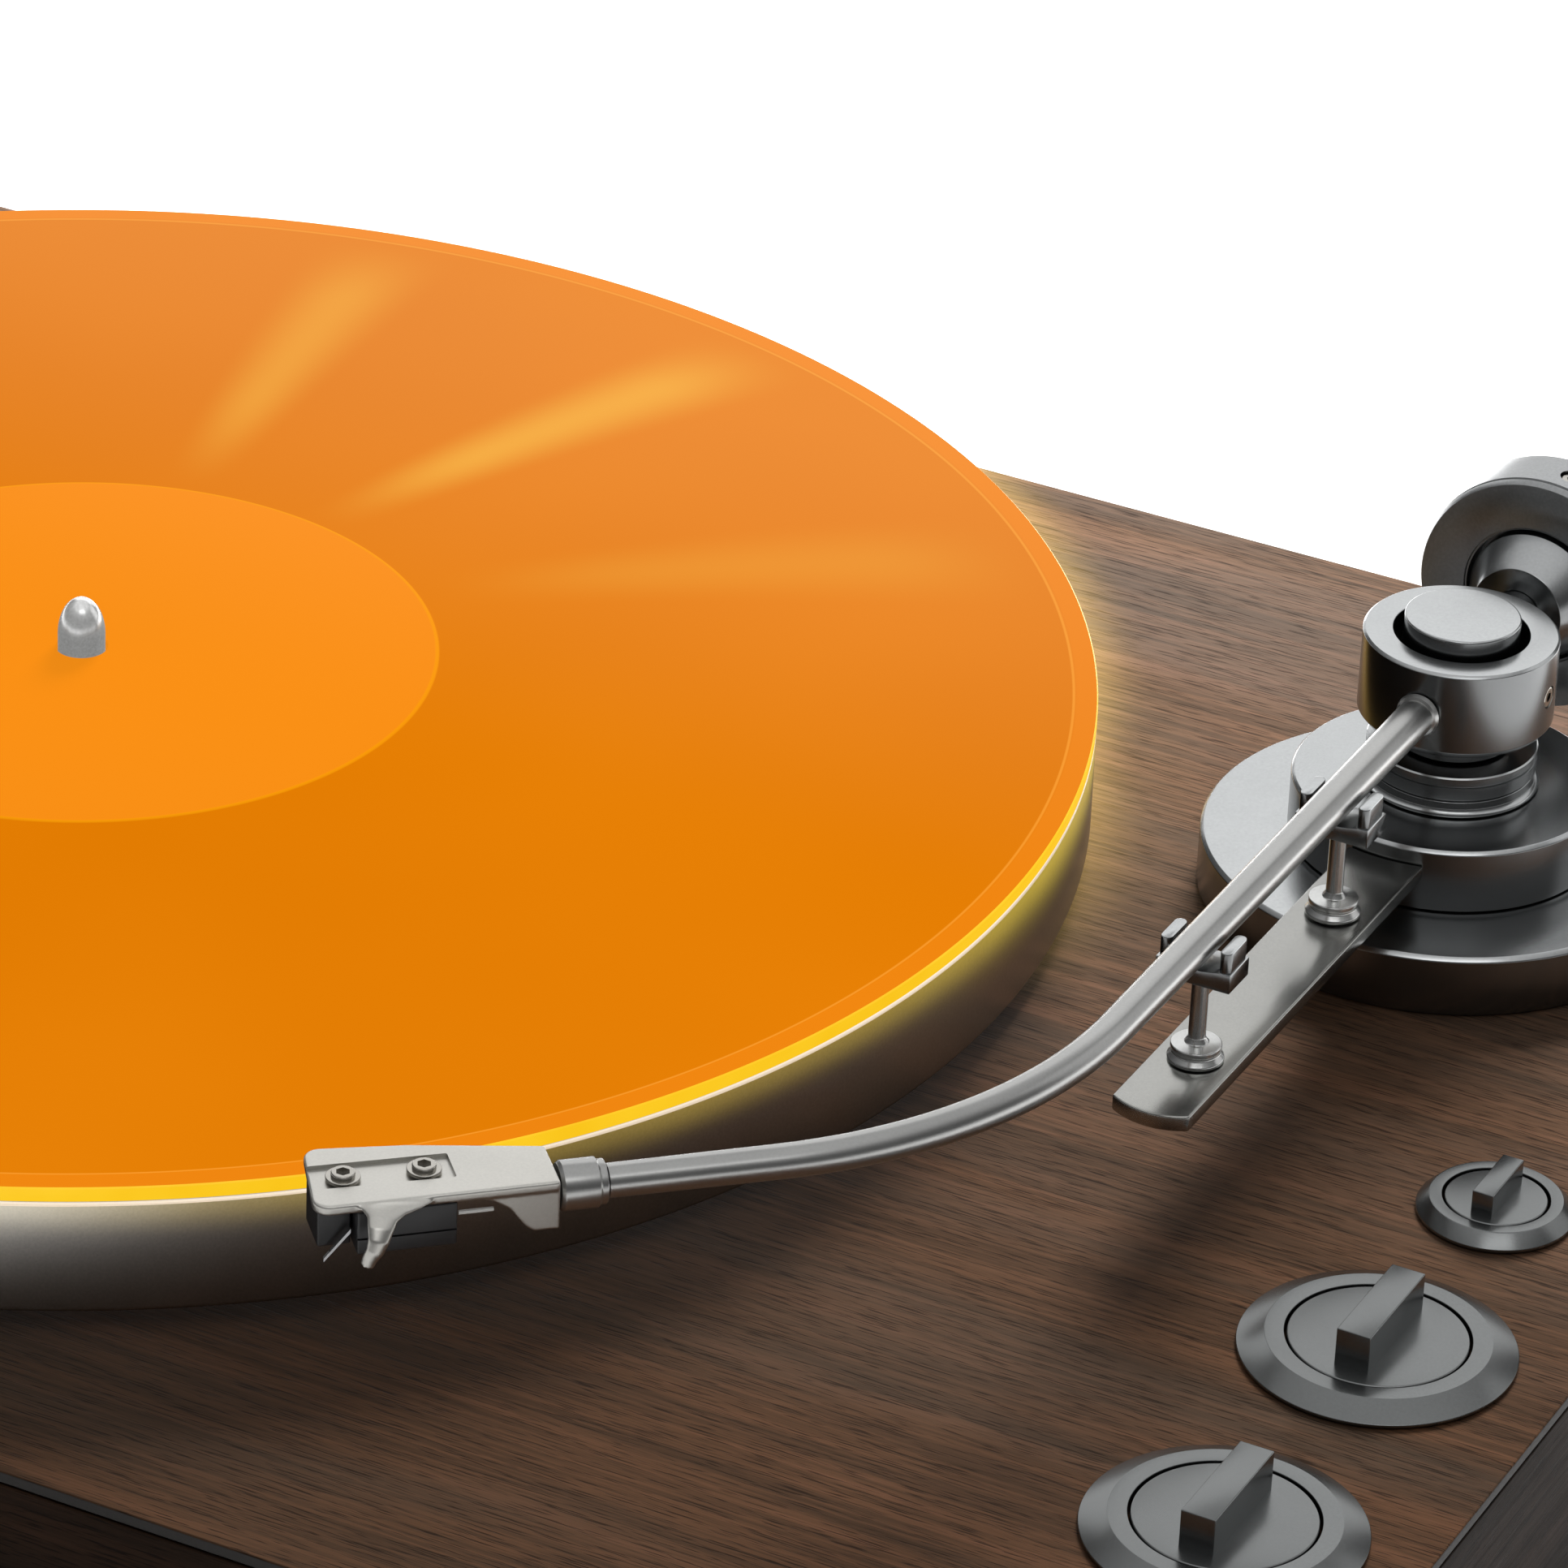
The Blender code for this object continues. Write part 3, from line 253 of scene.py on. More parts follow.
def walnut(name, along_x=True, tint=1.0, with_painted_light=False):
    """Open-grained walnut: soft bands, reddish and grey streaks and dark pores along the grain. With
    painted light, it is painted brighter towards the rear and carries a painted yellow halo beside the
    record.
    """
    s = Shader(name, Specular_IOR_Level=0.06)

    def stretched(length, width, offset=0.0):
        scale = (1 / length, 1 / width, 1 / width) if along_x else (1 / width, 1 / length, 1 / width)
        return s.place(scale, (offset, offset, 0))

    wander = s.noise(stretched(0.20, 0.030), 1.0, 2, 0.5, 0.5)
    bands = s.noise(stretched(0.16, 0.0080, 3), 1.0, 4, 0.6, 0.8)
    streaks = s.noise(stretched(0.045, 0.0011, 7), 1.0, 5, 0.7, 0.4)
    pores = s.noise(stretched(0.006, 0.00024, 11), 1.0, 2, 0.5)
    tone = s.maths("ADD", s.maths("MULTIPLY", bands, 0.42), s.maths("MULTIPLY", streaks, 0.58))
    colour = s.ramp(tone, *[(place, tinted(shade, tint)) for place, shade in WALNUT_TONES])
    grey = s.ramp(wander, (0.44, 0.0), (0.62, 0.40))
    colour = s.mix(grey, colour, tinted(WALNUT_GREY, tint))
    pore_mask = s.ramp(pores, (0.36, 0.70), (0.45, 0.0))
    colour = s.mix(pore_mask, colour, tinted(WALNUT_PORE, tint))
    # painted light: the top is painted brighter towards the rear
    if with_painted_light:
        y = s.node("SeparateXYZ", Vector=s.place()).outputs[1]
        painted_rear_light = s.mix(s.rise(y, -0.08, 0.16), (1, 1, 1), PAINTED_LIGHT_AT_REAR)
        colour = s.mix(1.0, colour, painted_rear_light, "MULTIPLY")
    s.link(colour, "Base Color")
    s.link(s.ramp(streaks, (0.3, 0.55), (0.7, 0.42)), "Roughness")
    s.bump(s.maths("SUBTRACT", s.maths("MULTIPLY", streaks, 0.4), pore_mask), 0.35, 0.00010)
    # painted light: a yellow halo painted on the wood beside the record
    if with_painted_light:
        painted_halo_beside_record(s, streaks)
    return s.material


def metal(name, colour, roughness, grain=0.04, grain_size=0.0004, bump=0.03, tone=0.06, painted_wall_shade=1.0):
    """Satin metal with a fine sand-like grain; a factor below 1 darkens its upright faces as painted shade.
    """
    s = Shader(name, Metallic=1.0)
    fine = s.noise(s.place(), 1 / grain_size, 3, 0.6)
    cloud = s.noise(s.place(), 60, 3, 0.6)
    rough = s.maths("ADD", s.maths("MULTIPLY", fine, grain * 2), s.maths("MULTIPLY", cloud, grain))
    s.link(s.maths("ADD", rough, roughness - 1.5 * grain), "Roughness")
    both = s.maths("MULTIPLY", s.maths("ADD", fine, cloud), 0.5)
    base = s.ramp(both, (0.35, tinted(colour, 1 - tone)), (0.65, tinted(colour, 1 + tone)))
    # painted shade: upright faces are darker than the tops
    if painted_wall_shade < 1:
        up = s.node("SeparateXYZ", Vector=s.node("TexCoord").outputs["Normal"]).outputs[2]
        shade = s.mix(s.rise(up, 0.10, 0.60), (painted_wall_shade, painted_wall_shade, painted_wall_shade), (1, 1, 1))
        base = s.mix(1.0, base, shade, "MULTIPLY")
    s.link(base, "Base Color")
    s.bump(fine, bump, 0.00005)
    return s.material


def pin_with_painted_glow():
    """Polished steel with a painted grey glow, so that it always looks pale, even beside the record."""
    s = Shader("pin_steel", Metallic=1.0, Roughness=0.22)
    fine = s.noise(s.place(), 2500, 3, 0.6)
    s.link(s.ramp(fine, (0.35, (0.70, 0.70, 0.70)), (0.65, (0.78, 0.78, 0.78))), "Base Color")
    s.glow(s.ramp(fine, (0.35, (0.20, 0.20, 0.195)), (0.65, (0.25, 0.25, 0.245))))
    return s.material


def turned_metal(name, colour, roughness):
    """Metal with the fine concentric marks of a lathe about the Y axis: its faces shine in fans."""
    s = Shader(name, Metallic=1.0, Anisotropic=0.75)
    tangent = s.node("Tangent")
    tangent.direction_type, tangent.axis = "RADIAL", "Y"
    s.link(tangent.outputs[0], "Tangent")
    fine = s.noise(s.place(), 2500, 3, 0.6)
    s.link(s.ramp(fine, (0.35, tinted(colour, 0.93)), (0.65, tinted(colour, 1.07))), "Base Color")
    s.link(s.maths("ADD", s.maths("MULTIPLY", fine, 0.08), roughness - 0.04), "Roughness")
    return s.material


def plastic(name, colour, roughness=0.4, grain_size=0.0005, bump=0.15):
    """Moulded plastic, rubber or lacquer with a fine texture and slight colour variation."""
    s = Shader(name)
    fine = s.noise(s.place(), 1 / grain_size, 3, 0.6)
    cloud = s.noise(s.place(), 45, 2, 0.5)
    s.link(s.ramp(cloud, (0.3, tinted(colour, 0.85)), (0.7, tinted(colour, 1.15))), "Base Color")
    s.link(s.maths("ADD", s.maths("MULTIPLY", fine, 0.15), roughness - 0.07), "Roughness")
    s.bump(fine, bump, 0.00006)
    return s.material


LABEL_RADIUS = 0.0524
# painted highlight streaks on the record, where its grooves catch the light
PAINTED_RAYS = (  # heading at the inner and at the outer end, half width, strength, inner radius
    (104.0, 101.4, 5.5, 0.42, 0.058),
    (78.4, 73.7, 5.5, 0.62, 0.058),
    (49.2, 42.5, 7.0, 0.20, 0.060),
)
RAY_RUN = (0.060, 0.140)  # the radii that the two headings belong to
RAY_HIGHLIGHT_COLOUR, LABEL_COLOUR, LABEL_EDGE_HIGHLIGHT = (0.86, 0.46, 0.055), (0.87, 0.262, 0.008), (0.95, 0.36, 0.004)
RIM_COLOUR, RIM_HIGHLIGHT, REAR_SHEEN = (0.93, 0.27, 0.012), (1.0, 0.42, 0.05), (1.0, 0.75, 0.45)
GROOVES_START, GROOVES_END, GROOVE_PITCH = 0.060, 0.1462, 0.00045


def painted_ray_highlights(s, radius, heading):
    """Painted highlight streaks that fan out from the label, where the grooves catch the light; each is
    straight but not quite radial.
    """
    rays = None
    for inner, outer, half_width, strength, start in PAINTED_RAYS:
        swing = math.radians(outer - inner) / (RAY_RUN[1] - RAY_RUN[0])
        middle = s.maths("ADD", s.maths("MULTIPLY", s.maths("SUBTRACT", radius, RAY_RUN[0]), swing),
                         math.radians(inner))
        away = s.maths("ABSOLUTE", s.maths("SUBTRACT", heading, middle))
        across = s.rise(away, math.radians(half_width), 0.0)
        ray = s.product(across, s.rise(radius, start - 0.006, start + 0.030),
                        s.rise(radius, 0.149, 0.122), strength)
        rays = ray if rays is None else s.maths("MAXIMUM", rays, ray)
    return rays


def orange_vinyl():
    """Translucent orange vinyl given a painted glow, with painted highlight rays, a painted sheen towards
    the back, a brighter label, and painted highlight lines at the label's edge and at the rim.
    """
    s = Shader("orange_vinyl", Metallic=0.0, Specular_IOR_Level=0.0, Roughness=0.5)
    radius, heading, _ = s.about_spindle()
    cloud = s.noise(s.place(), 9, 2, 0.5)
    body = s.ramp(cloud, (0.35, (0.700, 0.191, 0.0006)), (0.65, (0.740, 0.209, 0.0022)))
    colour = s.mix(painted_ray_highlights(s, radius, heading), body, RAY_HIGHLIGHT_COLOUR)

    inside = s.rise(radius, LABEL_RADIUS, LABEL_RADIUS - 0.0004)
    colour = s.mix(inside, colour, LABEL_COLOUR)
    # painted highlight along the label's raised edge
    line = s.rise(s.maths("ABSOLUTE", s.maths("SUBTRACT", radius, LABEL_RADIUS)), 0.00045, 0.0001)
    colour = s.mix(s.product(line, 0.65), colour, LABEL_EDGE_HIGHLIGHT)

    rim = s.rise(radius, GROOVES_END, GROOVES_END + 0.0008)
    colour = s.mix(s.product(rim, 0.40), colour, RIM_COLOUR)
    # painted highlight line just inside the rim
    from_rim = s.maths("ABSOLUTE", s.maths("SUBTRACT", radius, GROOVES_END + 0.0002))
    rim_highlight_line = s.rise(from_rim, 0.00030, 0.00008)
    colour = s.mix(s.product(rim_highlight_line, 0.45), colour, RIM_HIGHLIGHT)
    s.link(s.mix(1.0, colour, (0.09, 0.07, 0.03), "MULTIPLY"), "Base Color")
    # painted reflection: the glow grows paler towards the back
    y = s.node("SeparateXYZ", Vector=s.place()).outputs[1]
    rear_sheen = s.product(s.rise(y, -0.01, RECORD_RADIUS), 0.10)
    # painted glow: the record's colour is given as emission, though the vinyl is no lamp
    s.glow(s.mix(rear_sheen, colour, REAR_SHEEN), 0.93)

    grooves = s.maths("SINE", s.maths("MULTIPLY", radius, math.tau / GROOVE_PITCH))
    playing = s.product(s.rise(radius, GROOVES_START, GROOVES_START + 0.003),
                        s.rise(radius, GROOVES_END, GROOVES_END - 0.0007))
    s.bump(s.product(grooves, playing), 0.05, 0.00003)
    return s.material


def glowing_edge():
    """The record's side: a painted yellow glow, standing for the light that the vinyl carries to its rim.
    """
    s = Shader("record_edge", Metallic=0.0, Roughness=0.3, Specular_IOR_Level=0.2)
    mottle = s.noise(s.place(), 90, 2, 0.5)
    colour = s.ramp(mottle, (0.3, (0.93, 0.54, 0.010)), (0.7, (0.96, 0.59, 0.018)))
    s.link(s.mix(1.0, colour, (0.1, 0.1, 0.1), "MULTIPLY"), "Base Color")
    s.glow(colour, 1.0)
    return s.material


# painted light on the platter's side: yellow glow, a pale reflection to the left and a highlight along the
# top edge
PAINTED_GLOW_FRONT, PAINTED_GLOW_RIGHT, PAINTED_REFLECTION_LEFT = (0.19, 0.130, 0.008), (0.46, 0.34, 0.035), (0.34, 0.31, 0.235)
PAINTED_TOP_HIGHLIGHT = (0.70, 0.56, 0.40)


def lit_platter():
    """Satin platter metal with painted light on its side: a yellow glow as from the record's edge, a pale
    reflection on the left, and a pale highlight line along its top edge.
    """
    s = Shader("platter_aluminium", Metallic=1.0)
    fine = s.noise(s.place(), 2500, 3, 0.6)
    s.link(s.ramp(fine, (0.35, (0.40, 0.385, 0.36)), (0.65, (0.46, 0.44, 0.41))), "Base Color")
    s.link(s.maths("ADD", s.maths("MULTIPLY", fine, 0.1), 0.33), "Roughness")
    s.bump(fine, 0.03, 0.00005)
    radius, heading, height = s.about_spindle()
    top = span("platter")[2]
    outside = s.rise(radius, RECORD_RADIUS - 0.0006, RECORD_RADIUS - 0.0003)
    right = s.rise(heading, math.radians(-22), math.radians(16))
    painted_wash = s.mix(right, PAINTED_GLOW_FRONT, PAINTED_GLOW_RIGHT)
    long_fade, short_fade = s.rise(height, top - 0.013, top), s.rise(height, top - 0.0075, top)
    fade = s.maths("ADD", s.product(long_fade, right),
                   s.product(short_fade, s.maths("SUBTRACT", 1.0, right)))
    left = s.rise(heading, math.radians(-50), math.radians(-66))
    painted_wash = s.mix(left, painted_wash, PAINTED_REFLECTION_LEFT)
    cloud = s.ramp(s.noise(s.place(), 35, 2, 0.5), (0.3, 0.85), (0.7, 1.1))
    behind = s.product(s.rise(heading, math.radians(75), math.radians(50)),
                       s.rise(heading, math.radians(-178), math.radians(-140)))
    glow = s.mix(s.product(fade, fade, outside, cloud, behind), (0, 0, 0), painted_wash)
    line = s.product(s.rise(height, top - 0.00042, top - 0.00030), outside, behind)
    s.glow(s.mix(line, glow, PAINTED_TOP_HIGHLIGHT))
    return s.material


FINISHES = {
    "walnut_top": walnut("walnut_top", with_painted_light=True),
    # painted shade: the front and side boards are darker copies of the same walnut
    "walnut_front": walnut("walnut_front", tint=0.38),
    "walnut_side": walnut("walnut_side", along_x=False, tint=0.26),
    "dark_edge": plastic("dark_edge", (0.012, 0.009, 0.007), 0.6),
    # painted light and shade: the satin metals' brightnesses are set piece by piece to how the light falls
    # on each; the knobs' darker metal is painted shade
    "satin": metal("satin_aluminium", (0.66, 0.665, 0.655), 0.24, grain=0.02),
    "satin_mid": metal("satin_steel", (0.56, 0.575, 0.58), 0.22, grain=0.012, bump=0.006, painted_wall_shade=0.38),
    "satin_dark": metal("satin_metal_darkened", (0.225, 0.233, 0.233), 0.25, grain=0.015, bump=0.01),
    "satin_head": metal("satin_head", (0.70, 0.685, 0.64), 0.36, grain=0.02, painted_wall_shade=0.75),
    "satin_tube": metal("satin_tube", (0.49, 0.49, 0.48), 0.30, grain=0.015, bump=0.01),
    "satin_bar": metal("satin_bar", (0.42, 0.42, 0.40), 0.24, grain=0.02, bump=0.01),
    "turned": turned_metal("turned_steel", (0.42, 0.43, 0.435), 0.30),
    "platter_metal": lit_platter(),
    "pin": pin_with_painted_glow(),
    "chrome": metal("chrome", (0.80, 0.80, 0.81), 0.08, grain=0.01, bump=0.0, tone=0.01),
    "screw": metal("screw_steel", (0.52, 0.50, 0.46), 0.20, grain=0.02),
    "brass": metal("brass", (0.62, 0.43, 0.17), 0.25),
    "black_plastic": plastic("black_plastic", (0.020, 0.020, 0.021), 0.35),
    "white_lead": plastic("white_lead", (0.75, 0.75, 0.72), 0.4),
    "rubber": plastic("rubber", (0.018, 0.018, 0.018), 0.75),
    "board": plastic("painted_board", (0.02, 0.02, 0.021), 0.7, 0.001, 0.3),
    "circuit": plastic("circuit_green", (0.015, 0.09, 0.045), 0.4),
    "vinyl": orange_vinyl(),
    "vinyl_edge": glowing_edge(),
}

# ---------------------------------------------------------------- modelling helpers


def finish_piece(name, mesh, body, finishes, replaced=(), sharp=30):
    mesh.shade_smooth()
    mesh.set_sharp_from_angle(angle=math.radians(sharp))
    mesh.materials.clear()
    obj = add_object(name, mesh)
    for finish in finishes if isinstance(finishes, tuple) else (finishes,):
        mesh.materials.append(FINISHES[finish])
    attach(obj, body)
    if replaced:
        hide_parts(*replaced)
    return obj


def mesh_from(build):
    shape = bmesh.new()
    build(shape)
    bmesh.ops.remove_doubles(shape, verts=shape.verts, dist=1e-7)
    bmesh.ops.recalc_face_normals(shape, faces=shape.faces)
    mesh = bpy.data.meshes.new("piece")
    shape.to_mesh(mesh)
    shape.free()
    return mesh


def worked(mesh, *steps):
    """The mesh after modifiers, given as (kind, settings). An "object" setting may be a mesh."""
    obj = add_object("work", mesh)
    helpers = []
    for kind, settings in steps:
        modifier = obj.modifiers.new(kind, kind)
        for key, value in settings.items():
            if isinstance(value, bpy.types.Mesh):
                value = add_object("helper", value)
                helpers.append(value)
            setattr(modifier, key, value)
    bpy.context.view_layer.update()
    graph = bpy.context.evaluated_depsgraph_get()
    made = bpy.data.meshes.new_from_object(obj.evaluated_get(graph))
    for used in [obj, *helpers]:
        bpy.data.objects.remove(used)
    return made


def cut(mesh, *cutters):
    return worked(mesh, *[("BOOLEAN", {"operation": "DIFFERENCE", "object": c}) for c in cutters])


def united(mesh, *others):
    return worked(mesh, *[("BOOLEAN", {"operation": "UNION", "object": o}) for o in others])


def bevelled(mesh, width, segments=3, limit=35):
    settings = {"width": width, "segments": segments, "limit_method": "ANGLE",
                "angle_limit": math.radians(limit), "use_clamp_overlap": True}
    return worked(mesh, ("BEVEL", settings))


def rounded(points, steps=4):
    """A closed profile of (x, y, corner radius) points with each corner rounded."""
    out = []
    for i, (x, y, radius) in enumerate(points):
        if radius <= 0:
            out.append((x, y))
            continue
        here = Vector((x, y))
        before = Vector(points[i - 1][:2]) - here
        after = Vector(points[(i + 1) % len(points)][:2]) - here
        half = before.angle(after) / 2
        reach = min(radius / math.tan(half), before.length * 0.49, after.length * 0.49)
        start, end = here + before.normalized() * reach, here + after.normalized() * reach
        middle = here + (before.normalized() + after.normalized()).normalized() * (reach / math.cos(half))
        for k in range(steps + 1):
            direction = start.lerp(end, k / steps) - middle
            out.append(tuple(middle + direction.normalized() * (start - middle).length))
    return out


def turned_mesh(profile, steps=128, place=(0, 0, 0), along=UP):
    """A closed (radius, height) loop turned about an axis through place. Zero radii close on it."""
    turn = UP.rotation_difference(Vector(along)).to_matrix()
    place = Vector(place)

    def build(shape):
        rings = []
        for radius, height in profile:
            count = steps if radius > 1e-7 else 1
            angles = [math.tau * k / steps for k in range(count)]
            rings.append([shape.verts.new(place + turn @ Vector((
                radius * math.cos(a), radius * math.sin(a), height))) for a in angles])
        for ring, following in zip(rings, rings[1:] + rings[:1]):
            if len(ring) == 1 and len(following) == 1:
                continue
            for k in range(steps):
                j = (k + 1) % steps
                corners = [ring[k % len(ring)], ring[j % len(ring)],
                           following[j % len(following)], following[k % len(following)]]
                unique = list(dict.fromkeys(corners))
                if len(unique) > 2:
                    shape.faces.new(unique)

    return mesh_from(build)


def turned(node, points, finish, body, place, along=UP, steps=128):
    """A turned piece that stands for a CAD node."""
    mesh = turned_mesh(rounded(points), steps, place, along)
    return finish_piece(f"{node}_fine", mesh, body, finish, (node,))


def cylinder_mesh(radius, low, high, place=(0, 0, 0), along=UP, steps=64):
    return turned_mesh([(0, high), (radius, high), (radius, low), (0, low)], steps, place, along)


def prism_mesh(outline, low, high, matrix=None):
    """A flat outline of (x, y) points, raised from low to high along Z, then placed by a matrix."""

    def build(shape):
        base = [shape.verts.new((x, y, low)) for x, y in outline]
        top = [shape.verts.new((x, y, high)) for x, y in outline]
        shape.faces.new(base[::-1])
        shape.faces.new(top)
        for i in range(len(base)):
            j = (i + 1) % len(base)
            shape.faces.new((base[i], base[j], top[j], top[i]))

    mesh = mesh_from(build)
    if matrix is not None:
        mesh.transform(matrix)
    return mesh


def box_mesh(low, high, matrix=None):
    outline = [(low[0], low[1]), (high[0], low[1]), (high[0], high[1]), (low[0], high[1])]
    return prism_mesh(outline, low[2], high[2], matrix)


def arc(middle, radius, start, end, count):
    angles = [start + (end - start) * i / count for i in range(count + 1)]
    return [(middle[0] + radius * math.cos(a), middle[1] + radius * math.sin(a)) for a in angles]


def swept_mesh(stations, sides=32):
    """Elliptical rings (place, across, third, half width, half thickness) joined into a closed tube."""

    def build(shape):
        rings = []
        for place, across, third, wide, thick in stations:
            angles = [math.tau * k / sides for k in range(sides)]
            offsets = [across * (wide * math.cos(a)) + third * (thick * math.sin(a)) for a in angles]
            rings.append([shape.verts.new(place + offset) for offset in offsets])
        for ring, following in zip(rings, rings[1:]):
            for k in range(sides):
                j = (k + 1) % sides
                shape.faces.new((ring[k], ring[j], following[j], following[k]))
        shape.faces.new(rings[0][::-1])
        shape.faces.new(rings[-1])

    return mesh_from(build)


# ---------------------------------------------------------------- record and platter

PIN_RADIUS = 0.0035
CENTRE_HOLE = 0.0038
RIM_BEAD = 0.0040  # width of the raised rim
AT_SPINDLE = (SPINDLE.x, SPINDLE.y, 0)


def make_record():
    radius, bottom, top = span("record")
    lip = 0.00012
    points = [
        (CENTRE_HOLE, top, 0.0002), (LABEL_RADIUS, top, 0.0001), (LABEL_RADIUS + 0.0003, top - lip, 0.0001),
        (radius - RIM_BEAD, top - lip, 0.0003), (radius - RIM_BEAD + 0.0010, top, 0.0005),
        (radius - 0.0002, top, 0), (radius, top - 0.0002, 0), (radius, bottom, 0.0002),
        (CENTRE_HOLE, bottom, 0),
    ]
    mesh = turned_mesh(rounded(points), 360, AT_SPINDLE)
    disc = finish_piece("record_fine", mesh, "record_disc", ("vinyl", "vinyl_edge"),
                        ("record",), 40)
    for face in mesh.polygons:
        outward = (Vector(face.center.xy) - SPINDLE.xy).length
        if outward > radius - 0.00015:
            face.material_index = 1
    disc.visible_glossy = False  # the metals would show it in a glare of orange


def make_platter():
    radius, bottom, top = span("platter")
    ceiling, skirt = PLINTH_TOP + 0.0125, radius - 0.012
    disc = turned("platter", [
        (CENTRE_HOLE, top, 0), (radius, top, 0.0003), (radius, bottom, 0.0008), (skirt, bottom, 0.0005),
        (skirt, ceiling, 0.0005), (CENTRE_HOLE, ceiling, 0),
    ], "platter_metal", "platter_assembly", AT_SPINDLE, steps=360)
    disc.visible_glossy = False


def make_spindle():
    _, bottom, tip = span("spindle")
    tip += 0.0009  # the fine point is longer
    shoulder, shaft, dome, steps = PLINTH_TOP + 0.0042, 0.005, 0.0058, 14
    profile = [(0, tip)]
    profile += [(PIN_RADIUS * math.sin(a), tip - dome + dome * math.cos(a))
                for a in [math.pi / 2 * i / steps for i in range(1, steps + 1)]]
    profile += [(PIN_RADIUS, shoulder), (shaft, shoulder), (shaft, bottom), (0, bottom)]
    mesh = turned_mesh(profile, 64, AT_SPINDLE)
    finish_piece("spindle_fine", mesh, "platter_assembly", "pin", ("spindle",))


# ---------------------------------------------------------------- plinth

EDGE = 0.0003  # the boards' chamfer, and the gap between pieces
BEARING_HOLE, PULLEY_HOLE, ARM_HOLE, KNOB_HOLE = 0.0103, 0.005, 0.0083, 0.0035  # radii in the top board
LID, MITRE = 0.0018, 0.0143  # the lid's thickness, and how far the front board's ends slant


def make_plinth():
    low, high = corners("top_board")
    inner_low, inner_high = corners("base_plate")
    lid = bevelled(box_mesh((low.x, low.y, high.z - LID), high), EDGE)
    body = box_mesh((inner_low.x, inner_low.y, low.z), (inner_high.x, inner_high.y, high.z - LID / 2))
    bores = [(centre("platter_bearing"), BEARING_HOLE), (centre("motor_pulley"), PULLEY_HOLE),
             (PIVOT, ARM_HOLE)]
    bores += [(centre(f"knob_{name}"), KNOB_HOLE) for name in ("front", "middle", "rear")]
    cutters = [cylinder_mesh(radius, low.z - EDGE, high.z + EDGE, (place.x, place.y, 0), steps=32)
               for place, radius in bores]
    mesh = cut(united(lid, body), *cutters)
    board = finish_piece("top_board_fine", mesh, "base", ("walnut_top", "dark_edge"),
                         ("top_board",))
    for face in board.data.polygons:
        if face.center.z < high.z - 0.6 * EDGE:
            face.material_index = 1

    for node, finish in (("front_board", "walnut_front"), ("right_board", "walnut_side"),
                         ("left_board", "walnut_side")):
        low, high = corners(node)
        inset = high.x - low.x
        if node == "front_board":
            outline = [(low.x, low.y), (high.x, low.y), (high.x - MITRE, high.y), (low.x + MITRE, high.y)]
        else:
            outer, inner = (high.x, low.x) if node == "right_board" else (low.x, high.x)
            outline = [(outer, low.y), (outer, high.y), (inner, high.y - inset), (inner, low.y + inset)]
        mesh = bevelled(prism_mesh(outline, low.z, high.z), EDGE, 3, 60)
        finish_piece(f"{node}_fine", mesh, "base", finish, (node,))


# ---------------------------------------------------------------- tonearm

TUBE_REAR, TUBE_FRONT = 0.00275, 0.0023  # radii
BEND_ANGLE = math.radians(47.6)
BEND_RADIUS = 0.072
BEND_CORNER = 0.14816  # from the pivot to where the two straight runs would meet
CORNER_TO_COLLAR = 0.05447
HEADING = Vector((-math.sin(BEND_ANGLE), -math.cos(BEND_ANGLE), 0))
HOUSING = 0.0143  # radius


def arm_point(forward, up=0.0):
    return Vector((PIVOT.x, PIVOT.y - forward, ARM_Z + up))


TUBE_END = arm_point(BEND_CORNER) + HEADING * CORNER_TO_COLLAR
AT_PIVOT = (PIVOT.x, PIVOT.y, 0)


def make_arm_base():
    """Two stacked discs, each with a chamfer above and a shadow line at its foot."""
    for node, chamfer, step, sides in (("arm_base_lower", 0.0006, 0.0005, 192),
                                       ("arm_base_upper", 0.0005, 0.0004, 160)):
        radius, low, high = span(node)
        turned(node, [
            (ARM_HOLE, high, 0), (radius - chamfer, high, chamfer - 0.0002),
            (radius, high - chamfer, chamfer - 0.0002), (radius, low + 0.0010, 0),
            (radius - step, low + 0.0008, 0), (radius - step, low, 0), (ARM_HOLE, low, 0),
        ], "satin_mid", "base", AT_PIVOT, steps=sides)


def make_column():
    """A grooved ring on a waist that flares out onto the upper disc."""
    _, bottom, top = span("arm_column")
    foot = span("arm_base_upper")[2] + EDGE
    ring, stem, bore, flare, steps = 0.0125, 0.008, 0.0041, 0.0010, 8
    waist, neck, under = ring - 0.0003, ring - 0.0007, top - 0.0037
    column = [
        (bore, top, 0), (ring - 0.0002, top, 0), (ring, top - 0.0002, 0), (ring, top - 0.0012, 0),
        (waist, top - 0.0013, 0), (waist, top - 0.0016, 0), (ring, top - 0.0017, 0),
        (ring, under, 0.0002), (neck, under, 0), (neck, under - 0.0004, 0), (waist, under - 0.0004, 0.0001),
    ]
    for i in range(steps, -1, -1):
        angle = math.pi / 2 * i / steps
        out, up = flare * (1 - math.sin(angle)), flare * (1 - math.cos(angle))
        column.append((waist + out, foot + up, 0))
    column += [(stem, foot, 0), (stem, bottom, 0), (bore, bottom, 0)]
    turned("arm_column", column, "satin_mid", "base", AT_PIVOT, steps=128)


